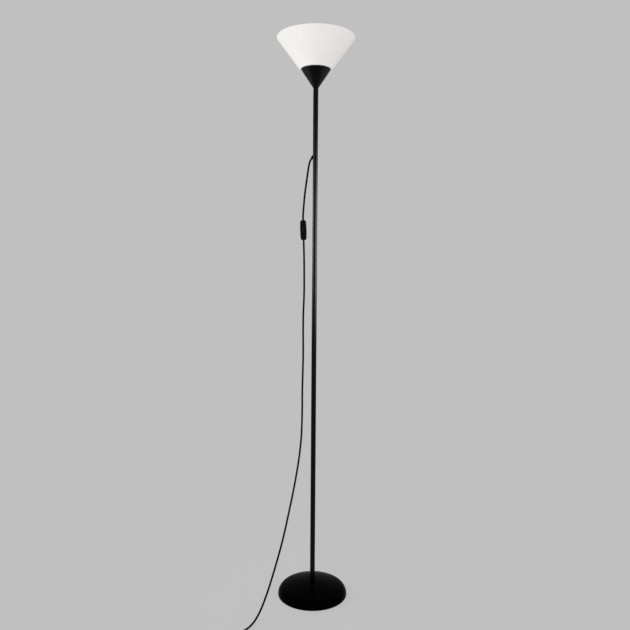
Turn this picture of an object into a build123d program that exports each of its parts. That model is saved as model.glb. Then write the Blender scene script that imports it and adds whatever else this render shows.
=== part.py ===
from build123d import *
import os
from math import acos, atan, atan2, cos, pi, radians, sin, sqrt, tan

# A floor lamp that shines upwards: cone shade, cone cup, four-piece pole, domed base and mains lead.
# Millimetres. The lamp stands on z = 0, the pole is the Z axis, and the photographed side faces -Y.

# Fits
press_clearance = 0.02
thread_clearance = 0.05
slip_clearance = 0.25
running_clearance = 0.10
contact_clearance = 0.35

# Base: domed cover over a cast weight on a soft pad
base_radius = 112.0
base_height = 43.5
base_edge_gap = 1.0
base_edge_height = 2.5
base_shoulder_radius = 28.0
base_wall = 2.0
base_seat_radius = 10.5
weight_gap = 0.5
weight_boss_radius = 9.5
recess_radius = 17.0
recess_depth = 14.0
pad_inset = 7.0
pad_thickness = 2.0

# Pole: three long tubes and a top tube, with threaded inserts in their ends
tube_radius = 8.0
tube_wall = 0.8
tube_length = 436.0
top_tube_length = 268.5
joint_chamfer = 0.6
insert_length = 20.0
insert_recess = 0.5

# Threaded rods, nuts and washers
stud_radius = 5.0
stud_reach = 16.0
stud_below_nut = 2.0
nut_flats = 17.0
nut_height = 8.0
washer_radius = 14.0
washer_thickness = 2.0

# Cup: cone between the pole and the shade
cup_height = 56.0
cup_top_radius = 46.0
cup_wall = 2.0
cup_floor = 8.0
cup_rim_round = 0.5

# Nipple: hollow threaded tube through the cup's floor
nipple_bore_radius = 4.0
nipple_depth = 16.0
nipple_nut_flats = 14.0
nipple_nut_height = 4.0
nipple_washer_radius = 9.0
nipple_washer_thickness = 1.2

# Shade: cone with a floor
shade_height = 94.5
shade_floor_radius = 50.3
shade_rim_radius = 121.2
shade_wall = 2.0
shade_hole_radius = 20.5
shade_rim_round = 0.8
shade_corner_round = 1.5

# Lampholder: cap, contact carrier and skirt, all set out from the shade's floor
skirt_below = 25.0
skirt_above = 17.0
skirt_radius = 19.6
skirt_wall = 3.2
skirt_lip = 2.5
skirt_mouth_radius = 14.6
flange_radius = 24.0
flange_thickness = 2.5
cap_thread_radius = 17.1
cap_thread_length = 6.0
cap_wall = 2.4
cap_shoulder_radius = 19.0
cap_shoulder_height = 5.5
cap_neck_radius = 8.0
cap_neck_height = 4.0
carrier_disc = 4.0
carrier_boss_radius = 14.2
carrier_boss = 4.0
carrier_plug = 5.0
carrier_recess_radius = 10.5
carrier_recess = 5.0
shell_radius = 13.3
shell_wall = 0.6
shell_length = 24.0
ring_radius = 28.0
ring_height = 9.0
ring_grips = 16
ring_grip_radius = 2.0
contact_width = 6.0
contact_thickness = 0.8
contact_rise = 2.7
terminal_size = (6.0, 7.0, 5.0)
terminal_inset = 6.0
terminal_screw_radius = 1.5
terminal_head_radius = 2.4
terminal_head_height = 1.6

# Mains lead
cord_radius = 3.0
core_radius = 1.1
core_spread = 1.4
bend_share = 0.45
cable_lead_in = 40.0

# Cord exit: slanted bush in the wall of the top tube
exit_rise = 58.0
exit_angle = 40.0
bush_neck_radius = 4.2
bush_collar_radius = 5.0
bush_depth = 5.0
bush_reach = 4.5
bush_chamfer = 0.8

# Inline switch
switch_offset = 36.0
switch_drop = 225.4
switch_lean = 2.0
switch_length = 62.6
switch_width = 20.3
switch_end_width = 17.6
switch_end_bulge = 2.0
switch_corner_radius = 4.5
switch_half = 8.5
switch_edge_radius = 2.5
switch_seam = 0.3
switch_wall = 1.6
switch_face_wall = 1.8
switch_sheath_depth = 7.0
rocker_width = 10.0
rocker_radius = 9.2
rocker_pivot_depth = 3.3
rocker_end_height = 4.2
rocker_mid_height = 3.4
rocker_skirt = 0.6
rocker_nose = 3.4
rocker_nose_width = 4.0
ridge_places = (3.2, 4.6, 6.0)
ridge_radius = 0.4
ridge_rise = 0.3
rocker_tilt = 10.0
rocker_pin_radius = 1.5
rocker_pin_length = 1.8
cheek_wall = 2.2
cheek_length = 8.0
lever_size = (5.0, 20.0)
lever_thickness = 0.6
lever_tilt = 5.0
lever_side_gap = 0.1
knuckle_radius = 0.6
block_width = 5.7
block_gap = 0.6
block_start = 15.5
block_end = 21.0
block_top = 1.5
strip_width = 3.0
strip_thickness = 1.5
post_radius = 2.4
post_place = (5.6, 25.0)
post_screw_radius = 1.25
post_head_radius = 2.1
post_head_height = 1.6
post_screw_length = 13.0

# Put-away coil of the lead, and its tie
coil_radius = 38.4
coil_pitch = 6.7
coil_whole_turns = 3
layer_step = 6.7
climb_turns = 0.5
layer_pieces = 6
climb_pieces = 2
tie_width = 10.0
tie_thickness = 0.8
tie_corner_radius = 3.0

# Two-pin plug
plug_width = 35.3
plug_thickness = 13.7
plug_straight = 12.0
plug_length = 33.0
plug_back_width = 13.0
plug_edge_radius = 3.0
boot_length = 28.0
boot_start_radius = 5.4
boot_end_radius = 4.0
boot_ribs = 6
boot_rib_share = 0.55
boot_slope_share = 0.1
boot_groove = 0.8
pin_spacing = 18.6
pin_radius = 2.0
pin_core_radius = 1.4
pin_length = 19.0
pin_hold = 6.0
sleeve_length = 10.0
sleeve_radius = 1.75
pin_tip_radius = 1.0

# Levels that follow from the sizes above
crown_rise = base_height - base_edge_height
crown_run = base_radius - base_shoulder_radius
crown_reach = crown_run**2 + crown_rise**2 - base_shoulder_radius**2
crown_radius = crown_reach / (2 * (crown_rise - base_shoulder_radius))
crown_centre = base_height - crown_radius
tangent_angle = atan2(base_edge_height - crown_centre, crown_run)
pole_foot = crown_centre + sqrt(crown_radius**2 - base_seat_radius**2)
joint_levels = [pole_foot + tube_length * count for count in (1, 2, 3)]
pole_top = joint_levels[-1] + top_tube_length
exit_height = joint_levels[-1] + exit_rise
cup_inside = pole_top + cup_floor
shade_base = pole_top + cup_height
shade_inside = shade_base + shade_wall
shade_rim = shade_base + shade_height
tube_bore = tube_radius - tube_wall
stud_hole_radius = stud_radius + thread_clearance

os.makedirs("parts", exist_ok=True)


def on_arc(centre, radius, angle):
    """A point of a circle, from its centre, radius and angle in radians."""
    return (centre[0] + radius * cos(angle), centre[1] + radius * sin(angle))


def dome_arcs(inset):
    """Draw the base's shoulder and crown, this far inside its outer face, and give their two ends."""
    shoulder = base_shoulder_radius - inset
    crown = crown_radius - inset
    seat_angle = acos(base_seat_radius / crown)
    shoulder_angles = (0, tangent_angle / 2, tangent_angle)
    crown_angles = (tangent_angle, (tangent_angle + seat_angle) / 2, seat_angle)
    shoulder_points = [on_arc((crown_run, base_edge_height), shoulder, angle) for angle in shoulder_angles]
    crown_points = [on_arc((0, crown_centre), crown, angle) for angle in crown_angles]
    ThreePointArc(*shoulder_points)
    ThreePointArc(*crown_points)
    return shoulder_points[0], crown_points[-1]


def ring_sketch(level, outer, inner):
    """A flat ring, square to the pole, at this level."""
    with BuildSketch(Plane.XY.offset(level)) as ring:
        Circle(outer)
        Circle(inner, mode=Mode.SUBTRACT)
    return ring.sketch


def hex_sketch(level, flats, hole):
    """A hexagon with a round hole, square to the pole, at this level."""
    with BuildSketch(Plane.XY.offset(level)) as nut:
        RegularPolygon(flats / 2, 6, major_radius=False)
        Circle(hole, mode=Mode.SUBTRACT)
    return nut.sketch


def turned_sketch(points):
    """A half-section in the XZ plane, to be turned about the pole."""
    with BuildSketch(Plane.XZ) as half:
        with BuildLine():
            Polyline(*points, close=True)
        make_face()
    return half.sketch


def bend_radii(points):
    """The radius at each corner of a cord's route, as large as the shorter of its two runs allows."""
    radii = []
    for before, corner, after in zip(points, points[1:], points[2:]):
        run_in = Vector(corner) - Vector(before)
        run_out = Vector(after) - Vector(corner)
        turn = radians(run_in.get_angle(run_out))
        radii.append(bend_share * min(run_in.length, run_out.length) / tan(turn / 2))
    return radii


def report_tube(name, tube, path, radius, radii):
    """Print a swept tube's bends, and its volume beside its section times its length."""
    expected = pi * radius**2 * path.length
    bends = " ".join(f"{bend:.0f}" for bend in radii)
    print(f"{name}: {path.length:.0f} mm, volume {tube.volume:.0f} of {expected:.0f}, bends {bends}")


# Base cover: domed shell with a flat seat for the pole
with BuildPart() as base_cover:
    with BuildSketch(Plane.XZ):
        with BuildLine():
            edge, seat = dome_arcs(0)
            inner_edge, inner_seat = dome_arcs(base_wall)
            Polyline(edge, (edge[0], base_edge_gap), (inner_edge[0], base_edge_gap), inner_edge)
            Polyline(seat, (stud_hole_radius, seat[1]), (stud_hole_radius, inner_seat[1]), inner_seat)
        make_face()
    revolve(axis=Axis.Z)
base_cover.part.label = "base_cover"
export_step(base_cover.part, "parts/base_cover.step")

# Base weight: cast to the inside of the cover, which rests on its boss
recess_top = pad_thickness + recess_depth
with BuildPart() as base_weight:
    with BuildSketch(Plane.XZ):
        with BuildLine():
            edge, seat = dome_arcs(base_wall + weight_gap)
            Polyline(
                edge,
                (edge[0], pad_thickness),
                (recess_radius, pad_thickness),
                (recess_radius, recess_top),
                (stud_hole_radius, recess_top),
                (stud_hole_radius, inner_seat[1]),
                (weight_boss_radius, inner_seat[1]),
                (weight_boss_radius, seat[1]),
                seat,
            )
        make_face()
    revolve(axis=Axis.Z)
base_weight.part.label = "base_weight"
export_step(base_weight.part, "parts/base_weight.step")

# Base pad
with BuildPart() as base_pad:
    with BuildSketch():
        Circle(base_radius - pad_inset)
    extrude(amount=pad_thickness)
base_pad.part.label = "base_pad"
export_step(base_pad.part, "parts/base_pad.step")

# Base stud, washer and nut, in the weight's recess
washer_level = recess_top - washer_thickness
nut_level = washer_level - nut_height
stud_level = nut_level - stud_below_nut
with BuildPart() as base_stud:
    with BuildSketch(Plane.XY.offset(stud_level)):
        Circle(stud_radius)
    extrude(amount=pole_foot + stud_reach - stud_level)
base_stud.part.label = "base_stud"
export_step(base_stud.part, "parts/base_stud.step")

with BuildPart() as base_washer:
    extrude(ring_sketch(washer_level, washer_radius, stud_hole_radius), amount=washer_thickness)
base_washer.part.label = "base_washer"
export_step(base_washer.part, "parts/base_washer.step")

with BuildPart() as base_nut:
    extrude(hex_sketch(nut_level, nut_flats, stud_hole_radius), amount=nut_height)
base_nut.part.label = "base_nut"
export_step(base_nut.part, "parts/base_nut.step")

# Pole tubes, with a fine chamfer that draws the joint lines
tube_spans = {
    "lower_tube": (pole_foot, joint_levels[0]),
    "middle_tube": (joint_levels[0], joint_levels[1]),
    "upper_tube": (joint_levels[1], joint_levels[2]),
    "top_tube": (joint_levels[2], pole_top),
}
exit_slope = radians(exit_angle)
exit_plane = Plane(origin=(-tube_radius, 0, exit_height), z_dir=(-sin(exit_slope), 0, -cos(exit_slope)))
bush_span = tube_radius + bush_collar_radius
for tube_name, (low, high) in tube_spans.items():
    with BuildPart() as tube:
        extrude(ring_sketch(low, tube_radius, tube_bore), amount=high - low)
        chamfer(tube.edges().filter_by(GeomType.CIRCLE).group_by(SortBy.RADIUS)[-1], joint_chamfer)
        if low < exit_height < high:
            with BuildSketch(exit_plane.offset(-bush_span)):
                Circle(bush_neck_radius + press_clearance)
            extrude(amount=2 * bush_span, mode=Mode.SUBTRACT)
    tube.part.label = tube_name
    export_step(tube.part, f"parts/{tube_name}.step")

# Threaded inserts, pressed into both ends of each tube
with BuildPart() as tube_inserts:
    for low, high in tube_spans.values():
        for start in (low + insert_recess, high - insert_recess - insert_length):
            extrude(ring_sketch(start, tube_bore - press_clearance, stud_hole_radius), amount=insert_length)
tube_inserts.part.label = "tube_inserts"
export_step(tube_inserts.part, "parts/tube_inserts.step")

# Studs between tubes
with BuildPart() as joint_studs:
    for level in joint_levels:
        with BuildSketch(Plane.XY.offset(level - stud_reach)):
            Circle(stud_radius)
        extrude(amount=2 * stud_reach)
joint_studs.part.label = "joint_studs"
export_step(joint_studs.part, "parts/joint_studs.step")

# Cup: its outer cone starts flush with the tube
cup_slope = atan((cup_top_radius - tube_radius) / cup_height)
cup_skin = cup_wall / cos(cup_slope)
with BuildPart() as cup:
    revolve(
        turned_sketch(
            [
                (stud_hole_radius, pole_top),
                (tube_radius, pole_top),
                (cup_top_radius, shade_base),
                (cup_top_radius - cup_skin, shade_base),
                (tube_radius - cup_skin + cup_floor * tan(cup_slope), cup_inside),
                (stud_hole_radius, cup_inside),
            ]
        ),
        axis=Axis.Z,
    )
    fillet(cup.edges().filter_by(GeomType.CIRCLE).sort_by(SortBy.RADIUS)[-1], cup_rim_round)
cup.part.label = "cup"
export_step(cup.part, "parts/cup.step")

# Nipple, washer and nut that hold the cup
nut_base = cup_inside + nipple_washer_thickness
cap_base = nut_base + nipple_nut_height
nipple_top = cap_base + cap_neck_height
with BuildPart() as nipple:
    nipple_foot = pole_top - nipple_depth
    extrude(ring_sketch(nipple_foot, stud_radius, nipple_bore_radius), amount=nipple_top - nipple_foot)
nipple.part.label = "nipple"
export_step(nipple.part, "parts/nipple.step")

with BuildPart() as nipple_washer:
    extrude(ring_sketch(cup_inside, nipple_washer_radius, stud_hole_radius), amount=nipple_washer_thickness)
nipple_washer.part.label = "nipple_washer"
export_step(nipple_washer.part, "parts/nipple_washer.step")

with BuildPart() as nipple_nut:
    extrude(hex_sketch(nut_base, nipple_nut_flats, stud_hole_radius), amount=nipple_nut_height)
nipple_nut.part.label = "nipple_nut"
export_step(nipple_nut.part, "parts/nipple_nut.step")

# Shade: cone and floor in one moulding
shade_slope = atan((shade_rim_radius - shade_floor_radius) / shade_height)
shade_skin = shade_wall / cos(shade_slope)
with BuildPart() as shade:
    revolve(
        turned_sketch(
            [
                (shade_hole_radius, shade_base),
                (shade_floor_radius, shade_base),
                (shade_rim_radius, shade_rim),
                (shade_rim_radius - shade_skin, shade_rim),
                (shade_floor_radius - shade_skin + shade_wall * tan(shade_slope), shade_inside),
                (shade_hole_radius, shade_inside),
            ]
        ),
        axis=Axis.Z,
    )
    fillet(shade.edges().filter_by(GeomType.CIRCLE).group_by(Axis.Z)[-1], shade_rim_round)
    floor_edges = shade.edges().filter_by(GeomType.CIRCLE).group_by(Axis.Z)[0]
    fillet(floor_edges.sort_by(SortBy.RADIUS)[-1], shade_corner_round)
shade.part.label = "shade"
export_step(shade.part, "parts/shade.step")

# Shade ring: threaded on the skirt, with finger grips round its edge
with BuildPart() as shade_ring:
    with BuildSketch(Plane.XY.offset(shade_inside)):
        Circle(ring_radius)
        Circle(skirt_radius + thread_clearance, mode=Mode.SUBTRACT)
        with PolarLocations(ring_radius + ring_grip_radius / 2, ring_grips):
            Circle(ring_grip_radius, mode=Mode.SUBTRACT)
    extrude(amount=ring_height)
shade_ring.part.label = "shade_ring"
export_step(shade_ring.part, "parts/shade_ring.step")

# Lampholder skirt: sleeve with the flange that the shade's floor rests on
skirt_base = shade_base - skirt_below
skirt_top = shade_base + skirt_above
cap_rim = skirt_base + cap_thread_length
carrier_top = cap_rim + carrier_disc
with BuildPart() as lampholder_skirt:
    revolve(
        turned_sketch(
            [
                (cap_thread_radius + thread_clearance, skirt_base),
                (skirt_radius, skirt_base),
                (skirt_radius, shade_base - flange_thickness),
                (flange_radius, shade_base - flange_thickness),
                (flange_radius, shade_base),
                (skirt_radius, shade_base),
                (skirt_radius, skirt_top),
                (skirt_mouth_radius, skirt_top),
                (skirt_mouth_radius, skirt_top - skirt_lip),
                (skirt_radius - skirt_wall, skirt_top - skirt_lip),
                (skirt_radius - skirt_wall, carrier_top),
                (cap_thread_radius + thread_clearance, carrier_top),
            ]
        ),
        axis=Axis.Z,
    )
lampholder_skirt.part.label = "lampholder_skirt"
export_step(lampholder_skirt.part, "parts/lampholder_skirt.step")

# Lampholder cap: neck on the nipple, flared to the thread that takes the skirt
cap_bore = cap_thread_radius - cap_wall
cap_shoulder = skirt_base - cap_shoulder_height
with BuildPart() as lampholder_cap:
    revolve(
        turned_sketch(
            [
                (stud_hole_radius, cap_base),
                (cap_neck_radius, cap_base),
                (cap_neck_radius, nipple_top),
                (cap_shoulder_radius, cap_shoulder),
                (cap_shoulder_radius, skirt_base),
                (cap_thread_radius, skirt_base),
                (cap_thread_radius, cap_rim),
                (cap_bore, cap_rim),
                (cap_bore, cap_shoulder + cap_wall),
                (cap_neck_radius, nipple_top + cap_wall),
                (stud_hole_radius, nipple_top + cap_wall),
            ]
        ),
        axis=Axis.Z,
    )
lampholder_cap.part.label = "lampholder_cap"
export_step(lampholder_cap.part, "parts/lampholder_cap.step")

# Contact carrier: clamped between the cap's rim and the skirt's shoulder
shell_base = carrier_top + carrier_boss
carrier_base = cap_rim - carrier_plug
with BuildPart() as lampholder_insert:
    revolve(
        turned_sketch(
            [
                (0, carrier_base),
                (cap_bore - slip_clearance, carrier_base),
                (cap_bore - slip_clearance, cap_rim),
                (cap_thread_radius - slip_clearance, cap_rim),
                (cap_thread_radius - slip_clearance, carrier_top),
                (carrier_boss_radius, carrier_top),
                (carrier_boss_radius, shell_base),
                (carrier_recess_radius, shell_base),
                (carrier_recess_radius, shell_base - carrier_recess),
                (0, shell_base - carrier_recess),
            ]
        ),
        axis=Axis.Z,
    )
lampholder_insert.part.label = "lampholder_insert"
export_step(lampholder_insert.part, "parts/lampholder_insert.step")

# Screw shell for the bulb
with BuildPart() as screw_shell:
    extrude(ring_sketch(shell_base, shell_radius + shell_wall, shell_radius), amount=shell_length)
screw_shell.part.label = "screw_shell"
export_step(screw_shell.part, "parts/screw_shell.step")

# Centre contact: bent strip that lies on the carrier's recess floor and rises to the middle
contact_floor = shell_base - carrier_recess
contact_foot = carrier_recess_radius - contact_thickness - slip_clearance
contact_heel = contact_foot / 2
contact_high = contact_floor + contact_rise
with BuildPart() as centre_contact:
    with BuildSketch(Plane.XZ):
        with BuildLine():
            Polyline(
                (-contact_foot, contact_floor),
                (-contact_heel, contact_floor),
                (0, contact_high),
                (contact_heel, contact_high),
                (contact_heel, contact_high + contact_thickness),
                (0, contact_high + contact_thickness),
                (-contact_heel, contact_floor + contact_thickness),
                (-contact_foot, contact_floor + contact_thickness),
                close=True,
            )
        make_face()
    extrude(amount=contact_width / 2, both=True)
centre_contact.part.label = "centre_contact"
export_step(centre_contact.part, "parts/centre_contact.step")

# Terminal blocks under the carrier, and their screws
terminal_base = carrier_base - terminal_size[2]
terminal_middle = terminal_inset + terminal_size[0] / 2
with BuildPart() as terminal_blocks:
    with BuildSketch(Plane.XY.offset(terminal_base)):
        with Locations((-terminal_middle, 0), (terminal_middle, 0)):
            Rectangle(terminal_size[0], terminal_size[1])
            Circle(terminal_screw_radius + thread_clearance, mode=Mode.SUBTRACT)
    extrude(amount=terminal_size[2])
terminal_blocks.part.label = "terminal_blocks"
export_step(terminal_blocks.part, "parts/terminal_blocks.step")

with BuildPart() as terminal_screws:
    with BuildSketch(Plane.XY.offset(terminal_base)):
        with Locations((-terminal_middle, 0), (terminal_middle, 0)):
            Circle(terminal_screw_radius)
    extrude(amount=terminal_size[2] - thread_clearance)
    with BuildSketch(Plane.XY.offset(terminal_base)):
        with Locations((-terminal_middle, 0), (terminal_middle, 0)):
            Circle(terminal_head_radius)
    extrude(amount=-terminal_head_height)
terminal_screws.part.label = "terminal_screws"
export_step(terminal_screws.part, "parts/terminal_screws.step")

# Cord bush: neck through the tube's wall, collar cut to sit on the tube
with BuildPart() as cord_bush:
    with BuildSketch(exit_plane.offset(-bush_span)):
        Circle(bush_collar_radius)
    extrude(amount=bush_reach + bush_span)
    chamfer(cord_bush.faces().sort_by(Axis(exit_plane.origin, exit_plane.z_dir))[-1].edges(), bush_chamfer)
    with BuildSketch(Plane.XY.offset(exit_height)):
        Circle(tube_radius)
    extrude(amount=2 * bush_span, both=True, mode=Mode.SUBTRACT)
    with BuildSketch(exit_plane.offset(-bush_depth)):
        Circle(bush_neck_radius)
    extrude(amount=bush_depth + bush_reach - bush_chamfer)
    with BuildSketch(exit_plane.offset(-bush_span)):
        Circle(cord_radius + thread_clearance)
    extrude(amount=bush_reach + bush_span, mode=Mode.SUBTRACT)
cord_bush.part.label = "cord_bush"
export_step(cord_bush.part, "parts/cord_bush.step")

# Inner cable: the lead's end, from the bush up the top tube and through the nipple
cable_side = tube_bore - cord_radius - slip_clearance
cable_rise = (tube_radius + cable_side) / sin(exit_slope)
cable_end = nipple_top + cap_wall
inner_points = [
    exit_plane.origin,
    exit_plane.from_local_coords((0, 0, -cable_rise)),
    Vector(cable_side, 0, pole_top - 2 * cable_lead_in),
    Vector(0, 0, pole_top - cable_lead_in),
    Vector(0, 0, cable_end),
]
with BuildPart() as inner_cable:
    with BuildLine() as inner_line:
        FilletPolyline(*inner_points, radius=bend_radii(inner_points))
    with BuildSketch(Plane(origin=inner_line.line @ 0, z_dir=inner_line.line % 0)):
        Circle(cord_radius)
    sweep(path=inner_line.wire())
inner_cable.part.label = "inner_cable"
export_step(inner_cable.part, "parts/inner_cable.step")
report_tube("inner_cable", inner_cable.part, inner_line.wire(), cord_radius, bend_radii(inner_points))

# The cable's two cores, to the lampholder's terminals
core_level = terminal_base + terminal_size[2] / 2
for core_name, side in (("live_core", 1), ("neutral_core", -1)):
    with BuildPart() as core:
        with BuildLine() as core_line:
            FilletPolyline(
                (side * core_spread, 0, cable_end),
                (side * core_spread, 0, core_level),
                (side * terminal_inset, 0, core_level),
                radius=2 * core_radius,
            )
        with BuildSketch(Plane(origin=core_line.line @ 0, z_dir=core_line.line % 0)):
            Circle(core_radius)
        sweep(path=core_line.wire())
    core.part.label = core_name
    export_step(core.part, f"parts/{core_name}.step")

# Inline switch: local X runs across it, local Y up the cord and local Z out of its face, which faces -Y
lean = radians(switch_lean)
switch_place = (-switch_offset, 0, exit_height - switch_drop)
switch_plane = Plane(origin=switch_place, x_dir=(cos(lean), 0, sin(lean)), z_dir=(0, -1, 0))
face_axis = Axis(switch_plane.origin, switch_plane.z_dir)
switch_ends = switch_length / 2 - switch_end_bulge
sheath_end = switch_length / 2 - switch_sheath_depth
post_places = [post_place, (-post_place[0], -post_place[1])]
pivot_level = switch_half - rocker_pivot_depth
cheek_inside = rocker_width / 2 + contact_clearance
switch_floor = switch_face_wall - switch_half


def switch_outline(level, inset):
    """The switch's barrel outline, this far inside its edge, on its own plane at this level."""
    middle = switch_width / 2 - inset
    corner = switch_end_width / 2 - inset
    end_middle = switch_length / 2 - inset
    end_corner = switch_ends - inset
    with BuildSketch(switch_plane.offset(level)) as outline:
        with BuildLine():
            for side in (-1, 1):
                ThreePointArc((side * corner, -end_corner), (side * middle, 0), (side * corner, end_corner))
            for end in (-1, 1):
                ThreePointArc((-corner, end * end_corner), (0, end * end_middle), (corner, end * end_corner))
        make_face()
        fillet(outline.vertices(), switch_corner_radius - inset)
    return outline.sketch


def side_plane(level, tilt):
    """A plane across the switch at this level: X up the cord, turned by this tilt, and Y out of the face."""
    turn = radians(tilt)
    up = switch_plane.y_dir * cos(turn) + switch_plane.z_dir * sin(turn)
    origin = switch_plane.from_local_coords((0, 0, level))
    return Plane(origin=origin, x_dir=up, z_dir=switch_plane.x_dir)


def cord_way(depth):
    """Cut the round way that the cord takes into one end of a switch shell, and the other."""
    for end in (-1, 1):
        way = Plane(
            origin=switch_plane.from_local_coords((0, end * switch_length / 2, 0)),
            z_dir=switch_plane.y_dir * -end,
        )
        with BuildSketch(way) as opening:
            Circle(cord_radius + thread_clearance)
        extrude(opening.sketch, amount=depth, both=True, mode=Mode.SUBTRACT)


# Back shell: hollow half with the screw posts
with BuildPart() as switch_back:
    extrude(switch_outline(0, 0), amount=-switch_half)
    fillet(switch_back.faces().sort_by(face_axis)[0].edges(), switch_edge_radius)
    chamfer(switch_back.faces().sort_by(face_axis)[-1].edges(), switch_seam)
    extrude(switch_outline(0, switch_wall), amount=switch_floor, mode=Mode.SUBTRACT)
    with BuildSketch(switch_plane.offset(switch_floor)):
        with Locations(*post_places):
            Circle(post_radius)
    extrude(amount=-switch_floor)
    with BuildSketch(switch_plane):
        with Locations(*post_places):
            Circle(post_screw_radius + thread_clearance)
    extrude(amount=-switch_half, mode=Mode.SUBTRACT)
    with BuildSketch(switch_plane.offset(-switch_half)):
        with Locations(*post_places):
            Circle(post_head_radius + slip_clearance)
    extrude(amount=post_head_height, mode=Mode.SUBTRACT)
    cord_way(switch_sheath_depth)
switch_back.part.label = "switch_back"
export_step(switch_back.part, "parts/switch_back.step")

# Front shell: hollow half with the rocker's window, and cheeks that carry the rocker's pins
window_length = 2 * (rocker_radius + contact_clearance)
with BuildPart() as switch_front:
    extrude(switch_outline(0, 0), amount=switch_half)
    fillet(switch_front.faces().sort_by(face_axis)[-1].edges(), switch_edge_radius)
    chamfer(switch_front.faces().sort_by(face_axis)[0].edges(), switch_seam)
    extrude(switch_outline(0, switch_wall), amount=switch_half - switch_face_wall, mode=Mode.SUBTRACT)
    with BuildSketch(switch_plane.offset(switch_half - switch_face_wall)):
        with Locations(*post_places):
            Circle(post_radius)
    extrude(amount=switch_face_wall - switch_half)
    with BuildSketch(switch_plane.offset(switch_half - switch_face_wall)):
        for side in (-1, 1):
            with Locations((side * (cheek_inside + cheek_wall / 2), 0)):
                Rectangle(cheek_wall, cheek_length)
    extrude(amount=-2 * rocker_pin_radius - rocker_pivot_depth + switch_face_wall)
    with BuildSketch(switch_plane):
        Rectangle(2 * cheek_inside, window_length)
    extrude(amount=switch_half, mode=Mode.SUBTRACT)
    with BuildSketch(side_plane(pivot_level, 0)):
        Circle(rocker_pin_radius + running_clearance)
    extrude(amount=cheek_inside + rocker_pin_length, both=True, mode=Mode.SUBTRACT)
    with BuildSketch(switch_plane):
        with Locations(*post_places):
            Circle(post_screw_radius + thread_clearance)
    extrude(amount=post_screw_length + switch_floor, mode=Mode.SUBTRACT)
    cord_way(switch_sheath_depth)
switch_front.part.label = "switch_front"
export_step(switch_front.part, "parts/switch_front.step")

# Rocker: round-ended button on two pins, with grip ridges, and a nose that works the contact lever
rocker_plane = side_plane(pivot_level, -rocker_tilt)
end_reach = sqrt(rocker_radius**2 - rocker_end_height**2)
skirt_reach = sqrt(rocker_radius**2 - rocker_skirt**2)
rocker_dip = rocker_end_height - rocker_mid_height
hollow_radius = (end_reach**2 + rocker_dip**2) / (2 * rocker_dip)
ridge_centres = []
for place in ridge_places:
    hollow = rocker_mid_height + hollow_radius - sqrt(hollow_radius**2 - place**2)
    ridge_centres += [(side * place, hollow + ridge_rise - ridge_radius) for side in (-1, 1)]
with BuildPart() as switch_rocker:
    with BuildSketch(rocker_plane):
        with BuildLine():
            low_end = (-end_reach, rocker_end_height)
            high_end = (end_reach, rocker_end_height)
            ThreePointArc(low_end, (0, rocker_mid_height), high_end)
            ThreePointArc(high_end, (rocker_radius, 0), (skirt_reach, -rocker_skirt))
            ThreePointArc(low_end, (-rocker_radius, 0), (-skirt_reach, -rocker_skirt))
            Polyline(
                (-skirt_reach, -rocker_skirt),
                (-rocker_nose_width, -rocker_pin_radius),
                (-rocker_nose_width / 2, -rocker_nose),
                (rocker_nose_width / 2, -rocker_nose),
                (rocker_nose_width, -rocker_pin_radius),
                (skirt_reach, -rocker_skirt),
            )
        make_face()
        with Locations(*ridge_centres):
            Circle(ridge_radius)
    extrude(amount=rocker_width / 2, both=True)
    with BuildSketch(rocker_plane):
        Circle(rocker_pin_radius)
    extrude(amount=cheek_inside + rocker_pin_length - contact_clearance, both=True)
switch_rocker.part.label = "switch_rocker"
export_step(switch_rocker.part, "parts/switch_rocker.step")

# Contact lever: see-saw strip with a pressed hump that tips on the pivot contact's round edge
lever_plane = side_plane(0, lever_tilt)
hump_radius = knuckle_radius + running_clearance
with BuildPart() as switch_contact_lever:
    with BuildSketch(lever_plane):
        Circle(hump_radius + lever_thickness)
        with Locations((0, lever_side_gap - lever_size[0] / 2)):
            Rectangle(lever_size[0], lever_size[0], mode=Mode.SUBTRACT)
        with Locations((0, lever_side_gap + lever_thickness / 2)):
            Rectangle(lever_size[1], lever_thickness)
        Circle(hump_radius, mode=Mode.SUBTRACT)
    extrude(amount=lever_size[0] / 2, both=True)
switch_contact_lever.part.label = "switch_contact_lever"
export_step(switch_contact_lever.part, "parts/switch_contact_lever.step")

# Pivot contact: round-edged ridge under the lever, strip along the floor and lower terminal block
block_middle = (block_start + block_end) / 2
block_side = block_gap / 2 + block_width / 2
lever_drop = lever_size[1] / 2 * sin(radians(lever_tilt))
fixed_level = lever_side_gap - contact_clearance - lever_drop


def terminal_block(side, end):
    """A terminal block on the switch's floor, with the hole for its screw."""
    with BuildSketch(switch_plane.offset(switch_floor)) as block:
        with Locations((side * block_side, end * block_middle)):
            Rectangle(block_width, block_end - block_start)
            Circle(terminal_screw_radius + thread_clearance, mode=Mode.SUBTRACT)
    extrude(block.sketch, amount=block_top - switch_floor)


with BuildPart() as switch_contact_pivot:
    terminal_block(1, -1)
    with BuildSketch(switch_plane.offset(switch_floor)):
        with Locations((block_gap / 2 + strip_width / 2, -block_start / 2)):
            Rectangle(strip_width, block_start)
    extrude(amount=strip_thickness)
    with BuildSketch(side_plane(0, 0)):
        with BuildLine():
            Polyline(
                (-strip_width / 2, switch_floor),
                (strip_width / 2, switch_floor),
                (knuckle_radius, 0),
                (-knuckle_radius, 0),
                close=True,
            )
        make_face()
        Circle(knuckle_radius)
    extrude(amount=lever_size[0] / 2, both=True)
switch_contact_pivot.part.label = "switch_contact_pivot"
export_step(switch_contact_pivot.part, "parts/switch_contact_pivot.step")

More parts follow.
